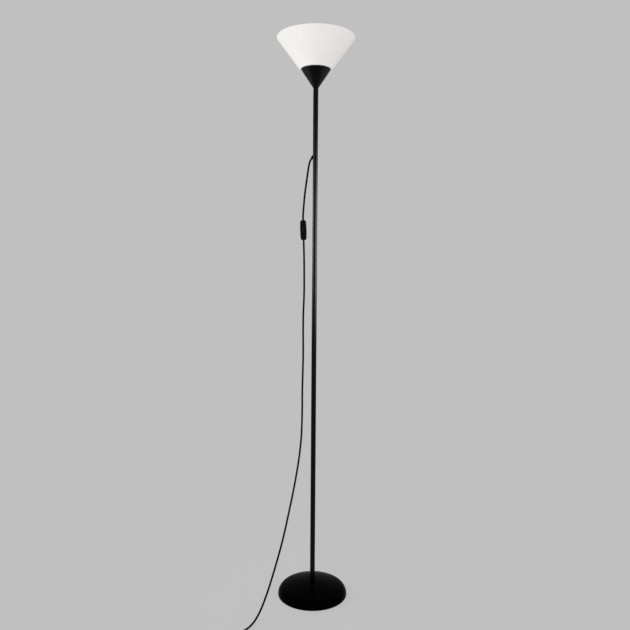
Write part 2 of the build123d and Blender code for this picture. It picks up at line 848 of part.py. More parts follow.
# Fixed contact: post under the lever's upper end, joined to the upper terminal block
fixed_start = lever_size[1] / 2 - strip_width
with BuildPart() as switch_contact_fixed:
    terminal_block(1, 1)
    with BuildSketch(switch_plane.offset(switch_floor)):
        with Locations((block_gap / 2 + strip_width / 2, (fixed_start + block_start) / 2)):
            Rectangle(strip_width, block_start - fixed_start)
    extrude(amount=strip_thickness)
    with BuildSketch(switch_plane.offset(switch_floor)):
        with Locations((block_gap / 2 + strip_width / 2, fixed_start + strip_width / 2)):
            Rectangle(strip_width, strip_width)
    extrude(amount=fixed_level - switch_floor)
switch_contact_fixed.part.label = "switch_contact_fixed"
export_step(switch_contact_fixed.part, "parts/switch_contact_fixed.step")

# Through link: carries the unswitched core from end to end
with BuildPart() as switch_through_link:
    for end in (-1, 1):
        terminal_block(-1, end)
    with BuildSketch(switch_plane.offset(switch_floor)):
        with Locations((-block_gap / 2 - block_width + strip_width / 2, 0)):
            Rectangle(strip_width, 2 * block_start)
    extrude(amount=strip_thickness)
switch_through_link.part.label = "switch_through_link"
export_step(switch_through_link.part, "parts/switch_through_link.step")

# Terminal screws of the switch
block_places = [(side * block_side, end * block_middle) for side in (-1, 1) for end in (-1, 1)]
with BuildPart() as switch_terminal_screws:
    with BuildSketch(switch_plane.offset(switch_floor + strip_thickness)):
        with Locations(*block_places):
            Circle(terminal_screw_radius)
    extrude(amount=block_top - switch_floor - strip_thickness)
    with BuildSketch(switch_plane.offset(block_top)):
        with Locations(*block_places):
            Circle(terminal_head_radius)
    extrude(amount=terminal_head_height)
switch_terminal_screws.part.label = "switch_terminal_screws"
export_step(switch_terminal_screws.part, "parts/switch_terminal_screws.step")

# The lead's cores inside the switch
with BuildPart() as switch_cores:
    for end in (-1, 1):
        core_end = Plane(
            origin=switch_plane.from_local_coords((0, end * sheath_end, 0)),
            x_dir=switch_plane.x_dir,
            z_dir=switch_plane.y_dir * -end,
        )
        with BuildSketch(core_end):
            with Locations((-core_spread, 0), (core_spread, 0)):
                Circle(core_radius)
        extrude(amount=sheath_end - block_end)
switch_cores.part.label = "switch_cores"
export_step(switch_cores.part, "parts/switch_cores.step")

# Screws that hold the two shells together
with BuildPart() as switch_screws:
    with BuildSketch(switch_plane.offset(-switch_half)):
        with Locations(*post_places):
            Circle(post_head_radius)
    extrude(amount=post_head_height)
    with BuildSketch(switch_plane.offset(post_head_height - switch_half)):
        with Locations(*post_places):
            Circle(post_screw_radius)
    extrude(amount=post_screw_length - post_head_height)
switch_screws.part.label = "switch_screws"
export_step(switch_screws.part, "parts/switch_screws.step")

# Upper cord: out of the bush, down in a slack curve and straight into the switch
exit_run = 7.0
entry_run = 14.0
upper_slack = [
    (15.7, 10.5),
    (18.6, 18.9),
    (21.1, 32.0),
    (24.0, 53.3),
    (27.7, 80.3),
    (31.5, 108.3),
    (34.0, 133.5),
    (35.8, 160.0),
]
upper_points = [exit_plane.origin, exit_plane.from_local_coords((0, 0, exit_run))]
upper_points += [Vector(-out, 0, exit_height - down) for out, down in upper_slack]
upper_points += [
    switch_plane.from_local_coords((0, switch_length / 2 + entry_run, 0)),
    switch_plane.from_local_coords((0, sheath_end, 0)),
]
with BuildPart() as cord_upper:
    with BuildLine() as upper_line:
        FilletPolyline(*upper_points, radius=bend_radii(upper_points))
    with BuildSketch(Plane(origin=upper_line.line @ 0, z_dir=upper_line.line % 0)):
        Circle(cord_radius)
    sweep(path=upper_line.wire())
cord_upper.part.label = "cord_upper"
export_step(cord_upper.part, "parts/cord_upper.step")
report_tube("cord_upper", cord_upper.part, upper_line.wire(), cord_radius, bend_radii(upper_points))

# Lower cord: hangs beside the pole, then swings out to the front and comes down on the floor
swing_offset = 37.2
swing_top = 562.0
swing_heading = radians(234.4)
coil_floor = cord_radius + tie_thickness + slip_clearance
hang_start = switch_plane.from_local_coords((0, -sheath_end, 0))
hang = [
    (33.2, 0.91),
    (32.5, 0.81),
    (32.2, 0.705),
    (34.8, 0.60),
    (35.0, 0.495),
    (34.0, 0.39),
    (35.3, 0.28),
    (36.6, 0.175),
    (36.3, 0.08),
    (37.2, 0.0),
]
swing = [
    (2.5, 520.0),
    (9.5, 478.0),
    (19.5, 434.0),
    (33.0, 388.0),
    (48.5, 341.0),
    (66.0, 294.0),
    (83.0, 248.0),
    (102.0, 203.0),
    (124.0, 159.0),
    (147.0, 116.0),
    (171.0, 75.0),
    (196.0, 40.0),
    (220.0, 16.5),
    (246.0, 4.2),
    (272.0, cord_radius),
    (298.0, coil_floor),
    (323.0, coil_floor),
]
lower_points = [hang_start]
lower_points += [Vector(-out, 0, swing_top + share * (hang_start.Z - swing_top)) for out, share in hang]
swing_way = Vector(cos(swing_heading), sin(swing_heading), 0)
lower_points += [Vector(-swing_offset, 0, level) + swing_way * reach for reach, level in swing]
with BuildPart() as cord_lower:
    with BuildLine() as lower_line:
        FilletPolyline(*lower_points, radius=bend_radii(lower_points))
    with BuildSketch(Plane(origin=lower_line.line @ 0, z_dir=lower_line.line % 0)):
        Circle(cord_radius)
    sweep(path=lower_line.wire())
cord_lower.part.label = "cord_lower"
export_step(cord_lower.part, "parts/cord_lower.step")
report_tube("cord_lower", cord_lower.part, lower_line.wire(), cord_radius, bend_radii(lower_points))

# Coil: spirals in on the floor, climbs a layer, and spirals out again towards +X
coil_straight = 2 * cord_radius
spiral_slip = atan(coil_pitch / (2 * pi * coil_radius))
coil_turns = coil_whole_turns + (2 * pi - swing_heading + 2 * spiral_slip) / (2 * pi)
layer_turns = (coil_turns - climb_turns) / 2
coil_inner = coil_radius - coil_pitch * layer_turns
coil_start_angle = swing_heading - pi / 2 - spiral_slip
coil_entry = lower_points[-1] + swing_way * coil_straight
coil_centre = coil_entry - Vector(cos(coil_start_angle), sin(coil_start_angle), 0) * coil_radius


def coil_shape(turn):
    """The coil's radius and height after this many turns, and how fast they change with each turn."""
    if turn <= layer_turns:
        return coil_radius - coil_pitch * turn, 0, -coil_pitch, 0
    climb = turn - layer_turns
    if climb >= climb_turns:
        return coil_inner + coil_pitch * (climb - climb_turns), layer_step, coil_pitch, 0
    share = climb / climb_turns
    radius = coil_inner - coil_pitch * climb * (1 - share)
    height = layer_step * (1 - cos(pi * share)) / 2
    slide = coil_pitch * (2 * share - 1)
    return radius, height, slide, layer_step * pi * sin(pi * share) / (2 * climb_turns)


def coil_place(turn):
    """The point of the coil after this many turns, and its direction there."""
    radius, height, slide, rise = coil_shape(turn)
    angle = coil_start_angle + 2 * pi * turn
    outward = Vector(cos(angle), sin(angle), 0)
    along = Vector(-sin(angle), cos(angle), 0)
    point = coil_centre + outward * radius + Vector(0, 0, height)
    return point, (outward * slide + along * (2 * pi * radius) + Vector(0, 0, rise)).normalized()


def biarc(start, start_way, end, end_way):
    """Two arcs from one point and direction to another, tangent to each other."""
    span = end - start
    ways = start_way + end_way
    lead = 2 * (1 - start_way.dot(end_way))
    reach = (sqrt(span.dot(ways) ** 2 + lead * span.dot(span)) - span.dot(ways)) / lead
    first = start + start_way * reach
    second = end - end_way * reach
    middle = (first + second) / 2
    TangentArc(start, middle, tangent=start_way)
    TangentArc(middle, end, tangent=second - first)


coil_stops = [layer_turns * count / layer_pieces for count in range(layer_pieces)]
coil_stops += [layer_turns + climb_turns * count / climb_pieces for count in range(climb_pieces)]
coil_stops += [layer_turns * (1 + count / layer_pieces) + climb_turns for count in range(layer_pieces + 1)]
coil_places = [coil_place(turn) for turn in coil_stops]
coil_exit = coil_places[-1][0] + coil_places[-1][1] * coil_straight
with BuildPart() as cord_coil:
    with BuildLine() as coil_line:
        Line(lower_points[-1], coil_entry)
        for (start, start_way), (end, end_way) in zip(coil_places, coil_places[1:]):
            biarc(start, start_way, end, end_way)
        Line(coil_places[-1][0], coil_exit)
    with BuildSketch(Plane(origin=lower_points[-1], z_dir=swing_way)):
        Circle(cord_radius)
    sweep(path=coil_line.wire())
cord_coil.part.label = "cord_coil"
export_step(cord_coil.part, "parts/cord_coil.step")
report_tube("cord_coil", cord_coil.part, coil_line.wire(), cord_radius, [])

# Least gap of the coil to itself, between points more than half a turn apart
coil_samples = 400
samples = [coil_line.wire() @ (count / coil_samples) for count in range(coil_samples + 1)]
half_turn = int(coil_samples / coil_turns / 2)
pairs = [(i, j) for i in range(coil_samples) for j in range(i + half_turn, coil_samples + 1)]
least = min((samples[i] - samples[j]).length for i, j in pairs) - 2 * cord_radius
print(f"cord_coil: {coil_turns:.2f} turns, least gap to itself {least:.2f} mm")

# Tie: band round the coil's bundle, where three turns lie together
tie_turn = 0.75
tie_radii = [coil_shape(tie_turn + count)[0] for count in range(coil_whole_turns)]
tie_angle = coil_start_angle + 2 * pi * tie_turn
tie_out = Vector(cos(tie_angle), sin(tie_angle), 0)
tie_swell = tie_width**2 / (8 * coil_inner) + slip_clearance
bundle_width = max(tie_radii) - min(tie_radii) + 2 * (cord_radius + tie_swell)
bundle_height = layer_step + 2 * (cord_radius + slip_clearance)
bundle_middle = Vector(0, 0, layer_step / 2) + tie_out * ((max(tie_radii) + min(tie_radii)) / 2)
tie_plane = Plane(origin=coil_centre + bundle_middle, x_dir=tie_out, z_dir=(-tie_out.Y, tie_out.X, 0))
with BuildPart() as cord_tie:
    with BuildSketch(tie_plane):
        RectangleRounded(
            bundle_width + 2 * tie_thickness,
            bundle_height + 2 * tie_thickness,
            tie_corner_radius + tie_thickness,
        )
        RectangleRounded(bundle_width, bundle_height, tie_corner_radius, mode=Mode.SUBTRACT)
    extrude(amount=tie_width / 2, both=True)
cord_tie.part.label = "cord_tie"
export_step(cord_tie.part, "parts/cord_tie.step")

# Tail: from the coil's top layer down to the plug's axis
plug_axis = plug_thickness / 2
tail_fall = plug_axis - coil_exit.Z
tail_sway = 2.0
tail_route = [(0.0, 0.0, 0.0), (16.0, 0.0, 0.0), (37.0, 0.75, 0.3), (57.0, 1.0, 1.0), (74.0, 1.0, 1.0)]
tail_points = [coil_exit + Vector(run, tail_sway * sway, tail_fall * fall) for run, sway, fall in tail_route]
with BuildPart() as cord_tail:
    with BuildLine() as tail_line:
        FilletPolyline(*tail_points, radius=bend_radii(tail_points))
    with BuildSketch(Plane(origin=tail_line.line @ 0, z_dir=tail_line.line % 0)):
        Circle(cord_radius)
    sweep(path=tail_line.wire())
cord_tail.part.label = "cord_tail"
export_step(cord_tail.part, "parts/cord_tail.step")
report_tube("cord_tail", cord_tail.part, tail_line.wire(), cord_radius, bend_radii(tail_points))

# Plug: flat body narrowed towards a ribbed boot, on the floor with its pins along +X
boot_base = tail_points[-1]
plug_back = boot_base + Vector(boot_length, 0, 0)
plug_face = plug_back + Vector(plug_length, 0, 0)
pin_places = [(-pin_spacing / 2, 0), (pin_spacing / 2, 0)]
face_plane = Plane(origin=plug_face, x_dir=(0, 1, 0), z_dir=(1, 0, 0))
plan_plane = Plane(origin=plug_back, x_dir=(1, 0, 0), z_dir=(0, 0, 1))
rib_pitch = boot_length / boot_ribs
with BuildPart() as plug_body:
    with BuildSketch(plan_plane):
        with BuildLine():
            for side in (-1, 1):
                shoulder = (plug_length - plug_straight, side * plug_width / 2)
                Line((plug_length, side * plug_width / 2), shoulder)
                TangentArc(shoulder, (0, side * plug_back_width / 2), tangent=(-1, 0))
            Line((plug_length, -plug_width / 2), (plug_length, plug_width / 2))
            Line((0, -plug_back_width / 2), (0, plug_back_width / 2))
        make_face()
    extrude(amount=plug_axis, both=True)
    rims = plug_body.faces().filter_by(Plane.XY).edges()
    fillet(rims, plug_edge_radius)
    with BuildSketch(Plane(origin=boot_base, x_dir=(1, 0, 0), z_dir=(0, -1, 0))):
        with BuildLine():
            rib_steps = [
                (0, 0),
                (boot_rib_share, 0),
                (boot_rib_share + boot_slope_share, boot_groove),
                (1 - boot_slope_share, boot_groove),
            ]
            outline = [(0, 0)]
            for rib in range(boot_ribs):
                for share, cut in rib_steps:
                    reach = (rib + share) * rib_pitch
                    full = boot_end_radius + (boot_start_radius - boot_end_radius) * reach / boot_length
                    outline.append((reach, full - cut))
            outline += [(boot_length, boot_start_radius), (boot_length, 0)]
            Polyline(*outline, close=True)
        make_face()
    revolve(axis=Axis(boot_base, (1, 0, 0)))
    with BuildSketch(face_plane):
        with Locations(*pin_places):
            Circle(pin_core_radius + press_clearance)
    extrude(amount=-pin_hold, mode=Mode.SUBTRACT)
plug_body.part.label = "plug_body"
export_step(plug_body.part, "parts/plug_body.step")

# Plug pins: thin where they are sleeved, with rounded tips
with BuildPart() as plug_pins:
    with BuildSketch(face_plane.offset(-pin_hold)):
        with Locations(*pin_places):
            Circle(pin_core_radius)
    extrude(amount=pin_hold + sleeve_length)
    with BuildSketch(face_plane.offset(sleeve_length)):
        with Locations(*pin_places):
            Circle(pin_radius)
    extrude(amount=pin_length - sleeve_length)
    fillet(plug_pins.edges().filter_by(GeomType.CIRCLE).group_by(Axis.X)[-1], pin_tip_radius)
plug_pins.part.label = "plug_pins"
export_step(plug_pins.part, "parts/plug_pins.step")

with BuildPart() as pin_sleeves:
    with BuildSketch(face_plane):
        with Locations(*pin_places):
            Circle(sleeve_radius)
            Circle(pin_core_radius + press_clearance, mode=Mode.SUBTRACT)
    extrude(amount=sleeve_length)
pin_sleeves.part.label = "pin_sleeves"
export_step(pin_sleeves.part, "parts/pin_sleeves.step")

# The lead's whole length outside the pole
lead_lines = (upper_line, lower_line, coil_line, tail_line)
lead_length = sum(line.wire().length for line in lead_lines) + 2 * sheath_end
print(f"lead: {lead_length:.0f} mm from the bush to the plug")
print(f"levels: joints {joint_levels}, pole top {pole_top:.2f}, shade rim {shade_rim:.2f}")
print(f"rocker pivot {side_plane(pivot_level, 0).origin}, lever pivot {side_plane(0, 0).origin}")
print(f"rocker axis {switch_plane.x_dir}, coil centre {coil_centre}, plug face {plug_face}")
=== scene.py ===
from math import atan, cos, pi, prod, radians, sin

import bmesh
import bpy
from mathutils import Matrix, Vector


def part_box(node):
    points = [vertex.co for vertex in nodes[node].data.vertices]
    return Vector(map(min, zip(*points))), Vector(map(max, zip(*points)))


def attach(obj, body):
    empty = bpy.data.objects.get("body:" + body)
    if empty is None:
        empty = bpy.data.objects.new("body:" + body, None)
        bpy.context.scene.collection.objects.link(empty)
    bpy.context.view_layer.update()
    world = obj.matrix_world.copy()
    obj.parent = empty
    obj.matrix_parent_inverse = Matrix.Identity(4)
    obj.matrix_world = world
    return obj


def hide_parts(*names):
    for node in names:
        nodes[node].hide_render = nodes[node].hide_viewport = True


# Looks of a floor lamp that shines upwards, in metres, in the CAD model's own frame
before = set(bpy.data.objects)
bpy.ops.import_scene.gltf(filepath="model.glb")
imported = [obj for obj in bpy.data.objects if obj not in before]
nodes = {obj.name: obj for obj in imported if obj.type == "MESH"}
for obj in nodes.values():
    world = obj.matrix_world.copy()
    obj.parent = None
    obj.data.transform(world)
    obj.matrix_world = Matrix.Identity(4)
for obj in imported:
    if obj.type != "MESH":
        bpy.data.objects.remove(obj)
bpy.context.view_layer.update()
scene = bpy.context.scene
MM = 0.001


# Camera, solved from the photograph's outlines of shade, cup, pole and base
IMAGE_SIZE = 630
FOCAL_PIXELS = 639.65
CAMERA_PLACE = (0.0025, -2.0248, 1.0758)
CAMERA_PITCH = 0.0784
CAMERA_ROLL = 0.0072

camera_data = bpy.data.cameras.new("camera")
camera_data.lens = camera_data.sensor_width * FOCAL_PIXELS / IMAGE_SIZE
camera = bpy.data.objects.new("camera", camera_data)
camera.matrix_world = (
    Matrix.Translation(CAMERA_PLACE)
    @ Matrix.Rotation(pi / 2 - CAMERA_PITCH, 4, "X")
    @ Matrix.Rotation(CAMERA_ROLL, 4, "Z")
)
scene.collection.objects.link(camera)
scene.camera = camera


# Cord: the same route as the solid's, in millimetres until the splines are made
CORD_RADIUS = 3.0
SPLINE_ORDER = 3
SPLINE_STEPS = 10
ROUND_STEPS = 6
EXIT = Vector((-8.0, 0.0, 1409.32))
EXIT_SLOPE = radians(40.0)
EXIT_RUN = 7.0
UPPER_SLACK = [
    (15.7, 10.5),
    (18.6, 18.9),
    (21.1, 32.0),
    (24.0, 53.3),
    (27.7, 80.3),
    (31.5, 108.3),
    (34.0, 133.5),
    (35.8, 160.0),
]
SWITCH = Vector((-36.0, 0.0, 1183.92))
SWITCH_LEAN = radians(2.0)
SWITCH_UP = Vector((-sin(SWITCH_LEAN), 0.0, cos(SWITCH_LEAN)))
SHEATH_END = 24.3
ENTRY = 45.3
SWING_TOP = 562.0
HANG = [
    (33.2, 0.91),
    (32.5, 0.81),
    (32.2, 0.705),
    (34.8, 0.60),
    (35.0, 0.495),
    (34.0, 0.39),
    (35.3, 0.28),
    (36.6, 0.175),
    (36.3, 0.08),
    (37.2, 0.0),
]
SWING_OFFSET = 37.2
SWING_HEADING = radians(234.4)
COIL_FLOOR = 4.05
SWING = [
    (2.5, 520.0),
    (9.5, 478.0),
    (19.5, 434.0),
    (33.0, 388.0),
    (48.5, 341.0),
    (66.0, 294.0),
    (83.0, 248.0),
    (102.0, 203.0),
    (124.0, 159.0),
    (147.0, 116.0),
    (171.0, 75.0),
    (196.0, 40.0),
    (220.0, 16.5),
    (246.0, 4.2),
    (272.0, CORD_RADIUS),
    (298.0, COIL_FLOOR),
    (323.0, COIL_FLOOR),
]
COIL_RADIUS = 38.4
COIL_PITCH = 6.7
LAYER_STEP = 6.7
COIL_WHOLE_TURNS = 3
CLIMB_TURNS = 0.5
POINTS_PER_TURN = 18
COIL_STRAIGHT = 6.0
TAIL_SWAY = 2.0
TAIL_ROUTE = [(16.0, 0.0, 0.0), (37.0, 0.75, 0.3), (57.0, 1.0, 1.0), (74.0, 1.0, 1.0)]
PLUG_AXIS = 6.85

swing_way = Vector((cos(SWING_HEADING), sin(SWING_HEADING), 0.0))
coil_slip = atan(COIL_PITCH / (2 * pi * COIL_RADIUS))
coil_turns = COIL_WHOLE_TURNS + (2 * pi - SWING_HEADING + 2 * coil_slip) / (2 * pi)
layer_turns = (coil_turns - CLIMB_TURNS) / 2
coil_inner = COIL_RADIUS - COIL_PITCH * layer_turns
coil_start_angle = SWING_HEADING - pi / 2 - coil_slip


def coil_shape(turn):
    """The coil's radius and height after this many turns: in on the floor, up a layer, and out again."""
    climb = turn - layer_turns
    if climb <= 0:
        return COIL_RADIUS - COIL_PITCH * turn, 0.0
    if climb >= CLIMB_TURNS:
        return coil_inner + COIL_PITCH * (climb - CLIMB_TURNS), LAYER_STEP
    share = climb / CLIMB_TURNS
    return coil_inner - COIL_PITCH * climb * (1 - share), LAYER_STEP * (1 - cos(pi * share)) / 2


def coil_point(centre, turn):
    """The coil's point after this many turns."""
    radius, height = coil_shape(turn)
    angle = coil_start_angle + 2 * pi * turn
    return centre + Vector((radius * cos(angle), radius * sin(angle), height))


exit_way = Vector((-sin(EXIT_SLOPE), 0.0, -cos(EXIT_SLOPE)))
upper_route = [EXIT, EXIT + exit_way * EXIT_RUN]
upper_route += [Vector((-out, 0.0, EXIT.z - down)) for out, down in UPPER_SLACK]
upper_route += [SWITCH + SWITCH_UP * ENTRY, SWITCH + SWITCH_UP * SHEATH_END]

hang_start = SWITCH - SWITCH_UP * SHEATH_END
lower_route = [hang_start]
lower_route += [Vector((-out, 0.0, SWING_TOP + share * (hang_start.z - SWING_TOP))) for out, share in HANG]
lower_route += [Vector((-SWING_OFFSET, 0.0, level)) + swing_way * reach for reach, level in SWING]
coil_entry = lower_route[-1] + swing_way * COIL_STRAIGHT
coil_start = Vector((cos(coil_start_angle), sin(coil_start_angle), 0.0))
coil_centre = coil_entry - coil_start * COIL_RADIUS
coil_steps = round(coil_turns * POINTS_PER_TURN)
coil_points = [coil_point(coil_centre, coil_turns * step / coil_steps) for step in range(coil_steps + 1)]
coil_exit = coil_points[-1] + Vector((COIL_STRAIGHT, 0.0, 0.0))
tail_fall = PLUG_AXIS - coil_exit.z
lower_route += coil_points + [coil_exit]
lower_route += [
    coil_exit + Vector((run, TAIL_SWAY * sway, tail_fall * fall)) for run, sway, fall in TAIL_ROUTE
]


def cord_piece(name, route, material):
    """A round cord on one smooth spline with these control points."""
    curve = bpy.data.curves.new(name, "CURVE")
    curve.dimensions = "3D"
    curve.resolution_u = SPLINE_STEPS
    curve.bevel_depth = CORD_RADIUS * MM
    curve.bevel_resolution = ROUND_STEPS
    curve.use_fill_caps = True
    spline = curve.splines.new("NURBS")
    spline.points.add(len(route) - 1)
    for point, place in zip(spline.points, route):
        point.co = (*(place * MM), 1.0)
    spline.order_u = SPLINE_ORDER
    spline.use_endpoint_u = True
    curve.materials.append(material)
    piece = bpy.data.objects.new(name, curve)
    scene.collection.objects.link(piece)
    return piece


# Materials
def linear(hex_code):
    """An sRGB hex value as a linear colour."""
    channels = [int(hex_code[place : place + 2], 16) / 255 for place in (0, 2, 4)]
    return (*[c / 12.92 if c <= 0.04045 else ((c + 0.055) / 1.055) ** 2.4 for c in channels], 1.0)


def add(tree, kind, inputs=None, **settings):
    """Add a node with its settings; an input is a value, or the socket to link to it."""
    made = tree.nodes.new(kind)
    for name, value in settings.items():
        setattr(made, name, value)
    for name, value in (inputs or {}).items():
        if isinstance(value, bpy.types.NodeSocket):
            tree.links.new(value, made.inputs[name])
        else:
            made.inputs[name].default_value = value
    return made


def dress(tree, shader, colour, height, depth, roughness, **shader_values):
    """Link a colour and a relief this many mm deep to a shader, with its roughness and other values."""
    bump = add(tree, "ShaderNodeBump", {"Height": height, "Distance": depth * MM})
    tree.links.new(colour, shader.inputs["Base Color"])
    tree.links.new(bump.outputs["Normal"], shader.inputs["Normal"])
    if isinstance(roughness, bpy.types.NodeSocket):
        tree.links.new(roughness, shader.inputs["Roughness"])
    else:
        shader.inputs["Roughness"].default_value = roughness
    for socket, value in shader_values.items():
        shader.inputs[socket.replace("_", " ")].default_value = value


def start(name):
    """A new material: its tree, its object coordinates, and its shader, already linked to the output."""
    material = bpy.data.materials.new(name)
    material.use_nodes = True
    tree = material.node_tree
    tree.nodes.clear()
    place = add(tree, "ShaderNodeTexCoord").outputs["Object"]
    shader = add(tree, "ShaderNodeBsdfPrincipled")
    add(tree, "ShaderNodeOutputMaterial", {"Surface": shader.outputs["BSDF"]})
    return material, tree, place, shader


# Most of a noise's values lie between these
NOISE_LOW = 0.35
NOISE_HIGH = 0.65


def moulded(name, tone, other_tone, patch, roughness, swing, grain, height, **shader_values):
    """A skin with patches of two close tones, and a fine grain.

    The patches' width, and the grain's width and height, are in mm; the roughness swings with the patches.
    """
    material, tree, place, shader = start(name)
    patches = add(tree, "ShaderNodeTexNoise", {"Vector": place, "Scale": 1 / (patch * MM), "Detail": 3.0})
    mottle = patches.outputs["Fac"]
    share = add(tree, "ShaderNodeMapRange", {"Value": mottle, "From Min": NOISE_LOW, "From Max": NOISE_HIGH})
    tones = {"Factor": share.outputs["Result"], "A": linear(tone), "B": linear(other_tone)}
    colour = add(tree, "ShaderNodeMix", tones, data_type="RGBA").outputs["Result"]
    limits = {"Value": mottle, "To Min": roughness - swing, "To Max": roughness + swing}
    rough = add(tree, "ShaderNodeMapRange", limits).outputs["Result"]
    grains = add(tree, "ShaderNodeTexNoise", {"Vector": place, "Scale": 1 / (grain * MM), "Detail": 2.0})
    dress(tree, shader, colour, grains.outputs["Fac"], height, rough, **shader_values)
    return material


# Polypropylene, injection moulded, milky all through: a soft sheen over a barely mottled white
opal_polypropylene = moulded(
    "opal_polypropylene",
    "F4F1EF",
    "F0EDEA",
    patch=60.0,
    roughness=0.42,
    swing=0.04,
    grain=0.8,
    height=0.006,
    IOR=1.49,
    Specular_IOR_Level=0.35,
)
# Heat-proof phenolic moulding: dull cream white, slightly uneven
white_phenolic = moulded(
    "white_phenolic",
    "E9E6DC",
    "E1DDD1",
    patch=9.0,
    roughness=0.48,
    swing=0.06,
    grain=0.5,
    height=0.012,
    IOR=1.5,
)
# Unglazed steatite: chalky, fine open grain
steatite = moulded(
    "steatite",
    "E6E1D6",
    "D8D1C3",
    patch=4.0,
    roughness=0.75,
    swing=0.08,
    grain=0.35,
    height=0.03,
    IOR=1.55,
)
# ABS from a spark-eroded mould: even satin black with a fine sparkle of grain
satin_black_abs = moulded(
    "satin_black_abs",
    "030304",
    "060607",
    patch=14.0,
    roughness=0.38,
    swing=0.05,
    grain=0.6,
    height=0.012,
    IOR=1.5,
    Specular_IOR_Level=0.07,
)
# The switch's ABS is duller, with a deeper spark grain that a hand can feel
switch_abs = moulded(
    "switch_abs",
    "060606",
    "0A0A0A",
    patch=8.0,
    roughness=0.5,
    swing=0.05,
    grain=0.45,
    height=0.02,
    IOR=1.5,
    Specular_IOR_Level=0.1,
)
# The rocker's ABS is polished in the mould: smoother and shinier than the shells round it
rocker_abs = moulded(
    "rocker_abs",
    "050505",
    "080808",
    patch=6.0,
    roughness=0.28,
    swing=0.03,
    grain=0.8,
    height=0.004,
    IOR=1.5,
    Specular_IOR_Level=0.2,
)
# Powder coat on steel tube: semi-gloss with a shallow orange peel
black_powder_coat = moulded(
    "black_powder_coat",
    "020202",
    "040404",
    patch=25.0,
    roughness=0.16,
    swing=0.03,
    grain=2.4,
    height=0.003,
    IOR=1.5,
    Specular_IOR_Level=0.12,
)
# ABS from a smooth mould, deep black: a faint gloss with slight waviness and patches dulled by handling
gloss_black_abs = moulded(
    "gloss_black_abs",
    "010101",
    "020202",
    patch=35.0,
    roughness=0.2,
    swing=0.03,
    grain=6.0,
    height=0.01,
    IOR=1.5,
    Specular_IOR_Level=0.01,
)
# Plasticised PVC: deep black, nearly matt, slightly scuffed
soft_pvc_sheath = moulded(
    "soft_pvc_sheath",
    "060606",
    "0B0B0B",
    patch=30.0,
    roughness=0.58,
    swing=0.06,
    grain=0.9,
    height=0.01,
    IOR=1.52,
    Specular_IOR_Level=0.05,
)
# The plug's PVC is moulded over its pins: a shade greyer and firmer than the sheath, with the mould's grain
overmoulded_pvc = moulded(
    "overmoulded_pvc",
    "080808",
    "0D0D0D",
    patch=12.0,
    roughness=0.52,
    swing=0.06,
    grain=0.5,
    height=0.015,
    IOR=1.52,
    Specular_IOR_Level=0.15,
)
# Core insulation: bright, smooth PVC in the two mains colours
BROWN = "6B3A1E"
BLUE = "2A5FA8"
CORE_SKIN = {"patch": 6.0, "roughness": 0.4, "swing": 0.05, "grain": 0.6, "height": 0.008, "IOR": 1.52}
brown_pvc = moulded("brown_core_pvc", BROWN, "5C3018", **CORE_SKIN)
blue_pvc = moulded("blue_core_pvc", BLUE, "24528F", **CORE_SKIN)

# The switch's short cores are one live and one neutral, side by side, so the colour changes at its middle
twin_core_pvc, tree, place, shader = start("twin_core_pvc")
sides = add(tree, "ShaderNodeSeparateXYZ", {0: place}).outputs
live = add(tree, "ShaderNodeMath", {0: sides["X"], 1: SWITCH.x * MM}, operation="GREATER_THAN").outputs[0]
tones = {"Factor": live, "A": linear(BLUE), "B": linear(BROWN)}
cores = add(tree, "ShaderNodeMix", tones, data_type="RGBA").outputs["Result"]
scuff_scale = 1 / (CORE_SKIN["patch"] * MM)
scuffs = add(tree, "ShaderNodeTexNoise", {"Vector": place, "Scale": scuff_scale, "Detail": 3.0})
limits = {
    "Value": scuffs.outputs["Fac"],
    "To Min": CORE_SKIN["roughness"] - CORE_SKIN["swing"],
    "To Max": CORE_SKIN["roughness"] + CORE_SKIN["swing"],
}
rough = add(tree, "ShaderNodeMapRange", limits)
tree.links.new(cores, shader.inputs["Base Color"])
tree.links.new(rough.outputs["Result"], shader.inputs["Roughness"])

# In cell widths from a cell's middle: where its painted shade ends, and where its wall starts
CELL_DARK = 0.12
CELL_FULL = 0.42
# Walls and patches multiplied: from here on a skin has its full tone
CELL_REACH = 0.6


def celled(name, tone, painted_pit_shade, cell, patch, roughness, depth, **shader_values):
    """A skin of cells or pores, painted darker inside as shade in their pits, over soft patches of random
    tone; the widths and the depth are in mm.
    """
    material, tree, place, shader = start(name)
    patches = add(tree, "ShaderNodeTexNoise", {"Vector": place, "Scale": 1 / (patch * MM), "Detail": 4.0})
    pores = add(tree, "ShaderNodeTexVoronoi", {"Vector": place, "Scale": 1 / (cell * MM)})
    edges = {"Value": pores.outputs["Distance"], "From Min": CELL_DARK, "From Max": CELL_FULL}
    walls = add(tree, "ShaderNodeMapRange", edges, interpolation_type="SMOOTHSTEP").outputs["Result"]
    cloudy = {0: walls, 1: patches.outputs["Fac"]}
    shade = add(tree, "ShaderNodeMath", cloudy, operation="MULTIPLY").outputs[0]
    share = add(tree, "ShaderNodeMapRange", {"Value": shade, "From Max": CELL_REACH}).outputs["Result"]
    # The pits take the darker tone as painted shade; the patches vary it at random
    tones = {"Factor": share, "A": linear(painted_pit_shade), "B": linear(tone)}
    colour = add(tree, "ShaderNodeMix", tones, data_type="RGBA").outputs["Result"]
    dress(tree, shader, colour, walls, depth, roughness, **shader_values)
    return material


# Closed-cell foam: matt black skin with fine cut cells, painted darker inside their pits as shade
closed_cell_foam = celled(
    "closed_cell_foam", "262626", "121212", cell=0.9, patch=12.0, roughness=0.9, depth=0.12, IOR=1.4
)
# Cast concrete: cloudy grey, sand grains and small air holes, painted darker inside as shade
cast_concrete = celled(
    "cast_concrete", "A8A49C", "6F6C66", cell=2.2, patch=22.0, roughness=0.92, depth=0.35, IOR=1.5
)


# Two noises added: their sum mostly lies between these
MARKS_LOW = 0.75
MARKS_HIGH = 1.25


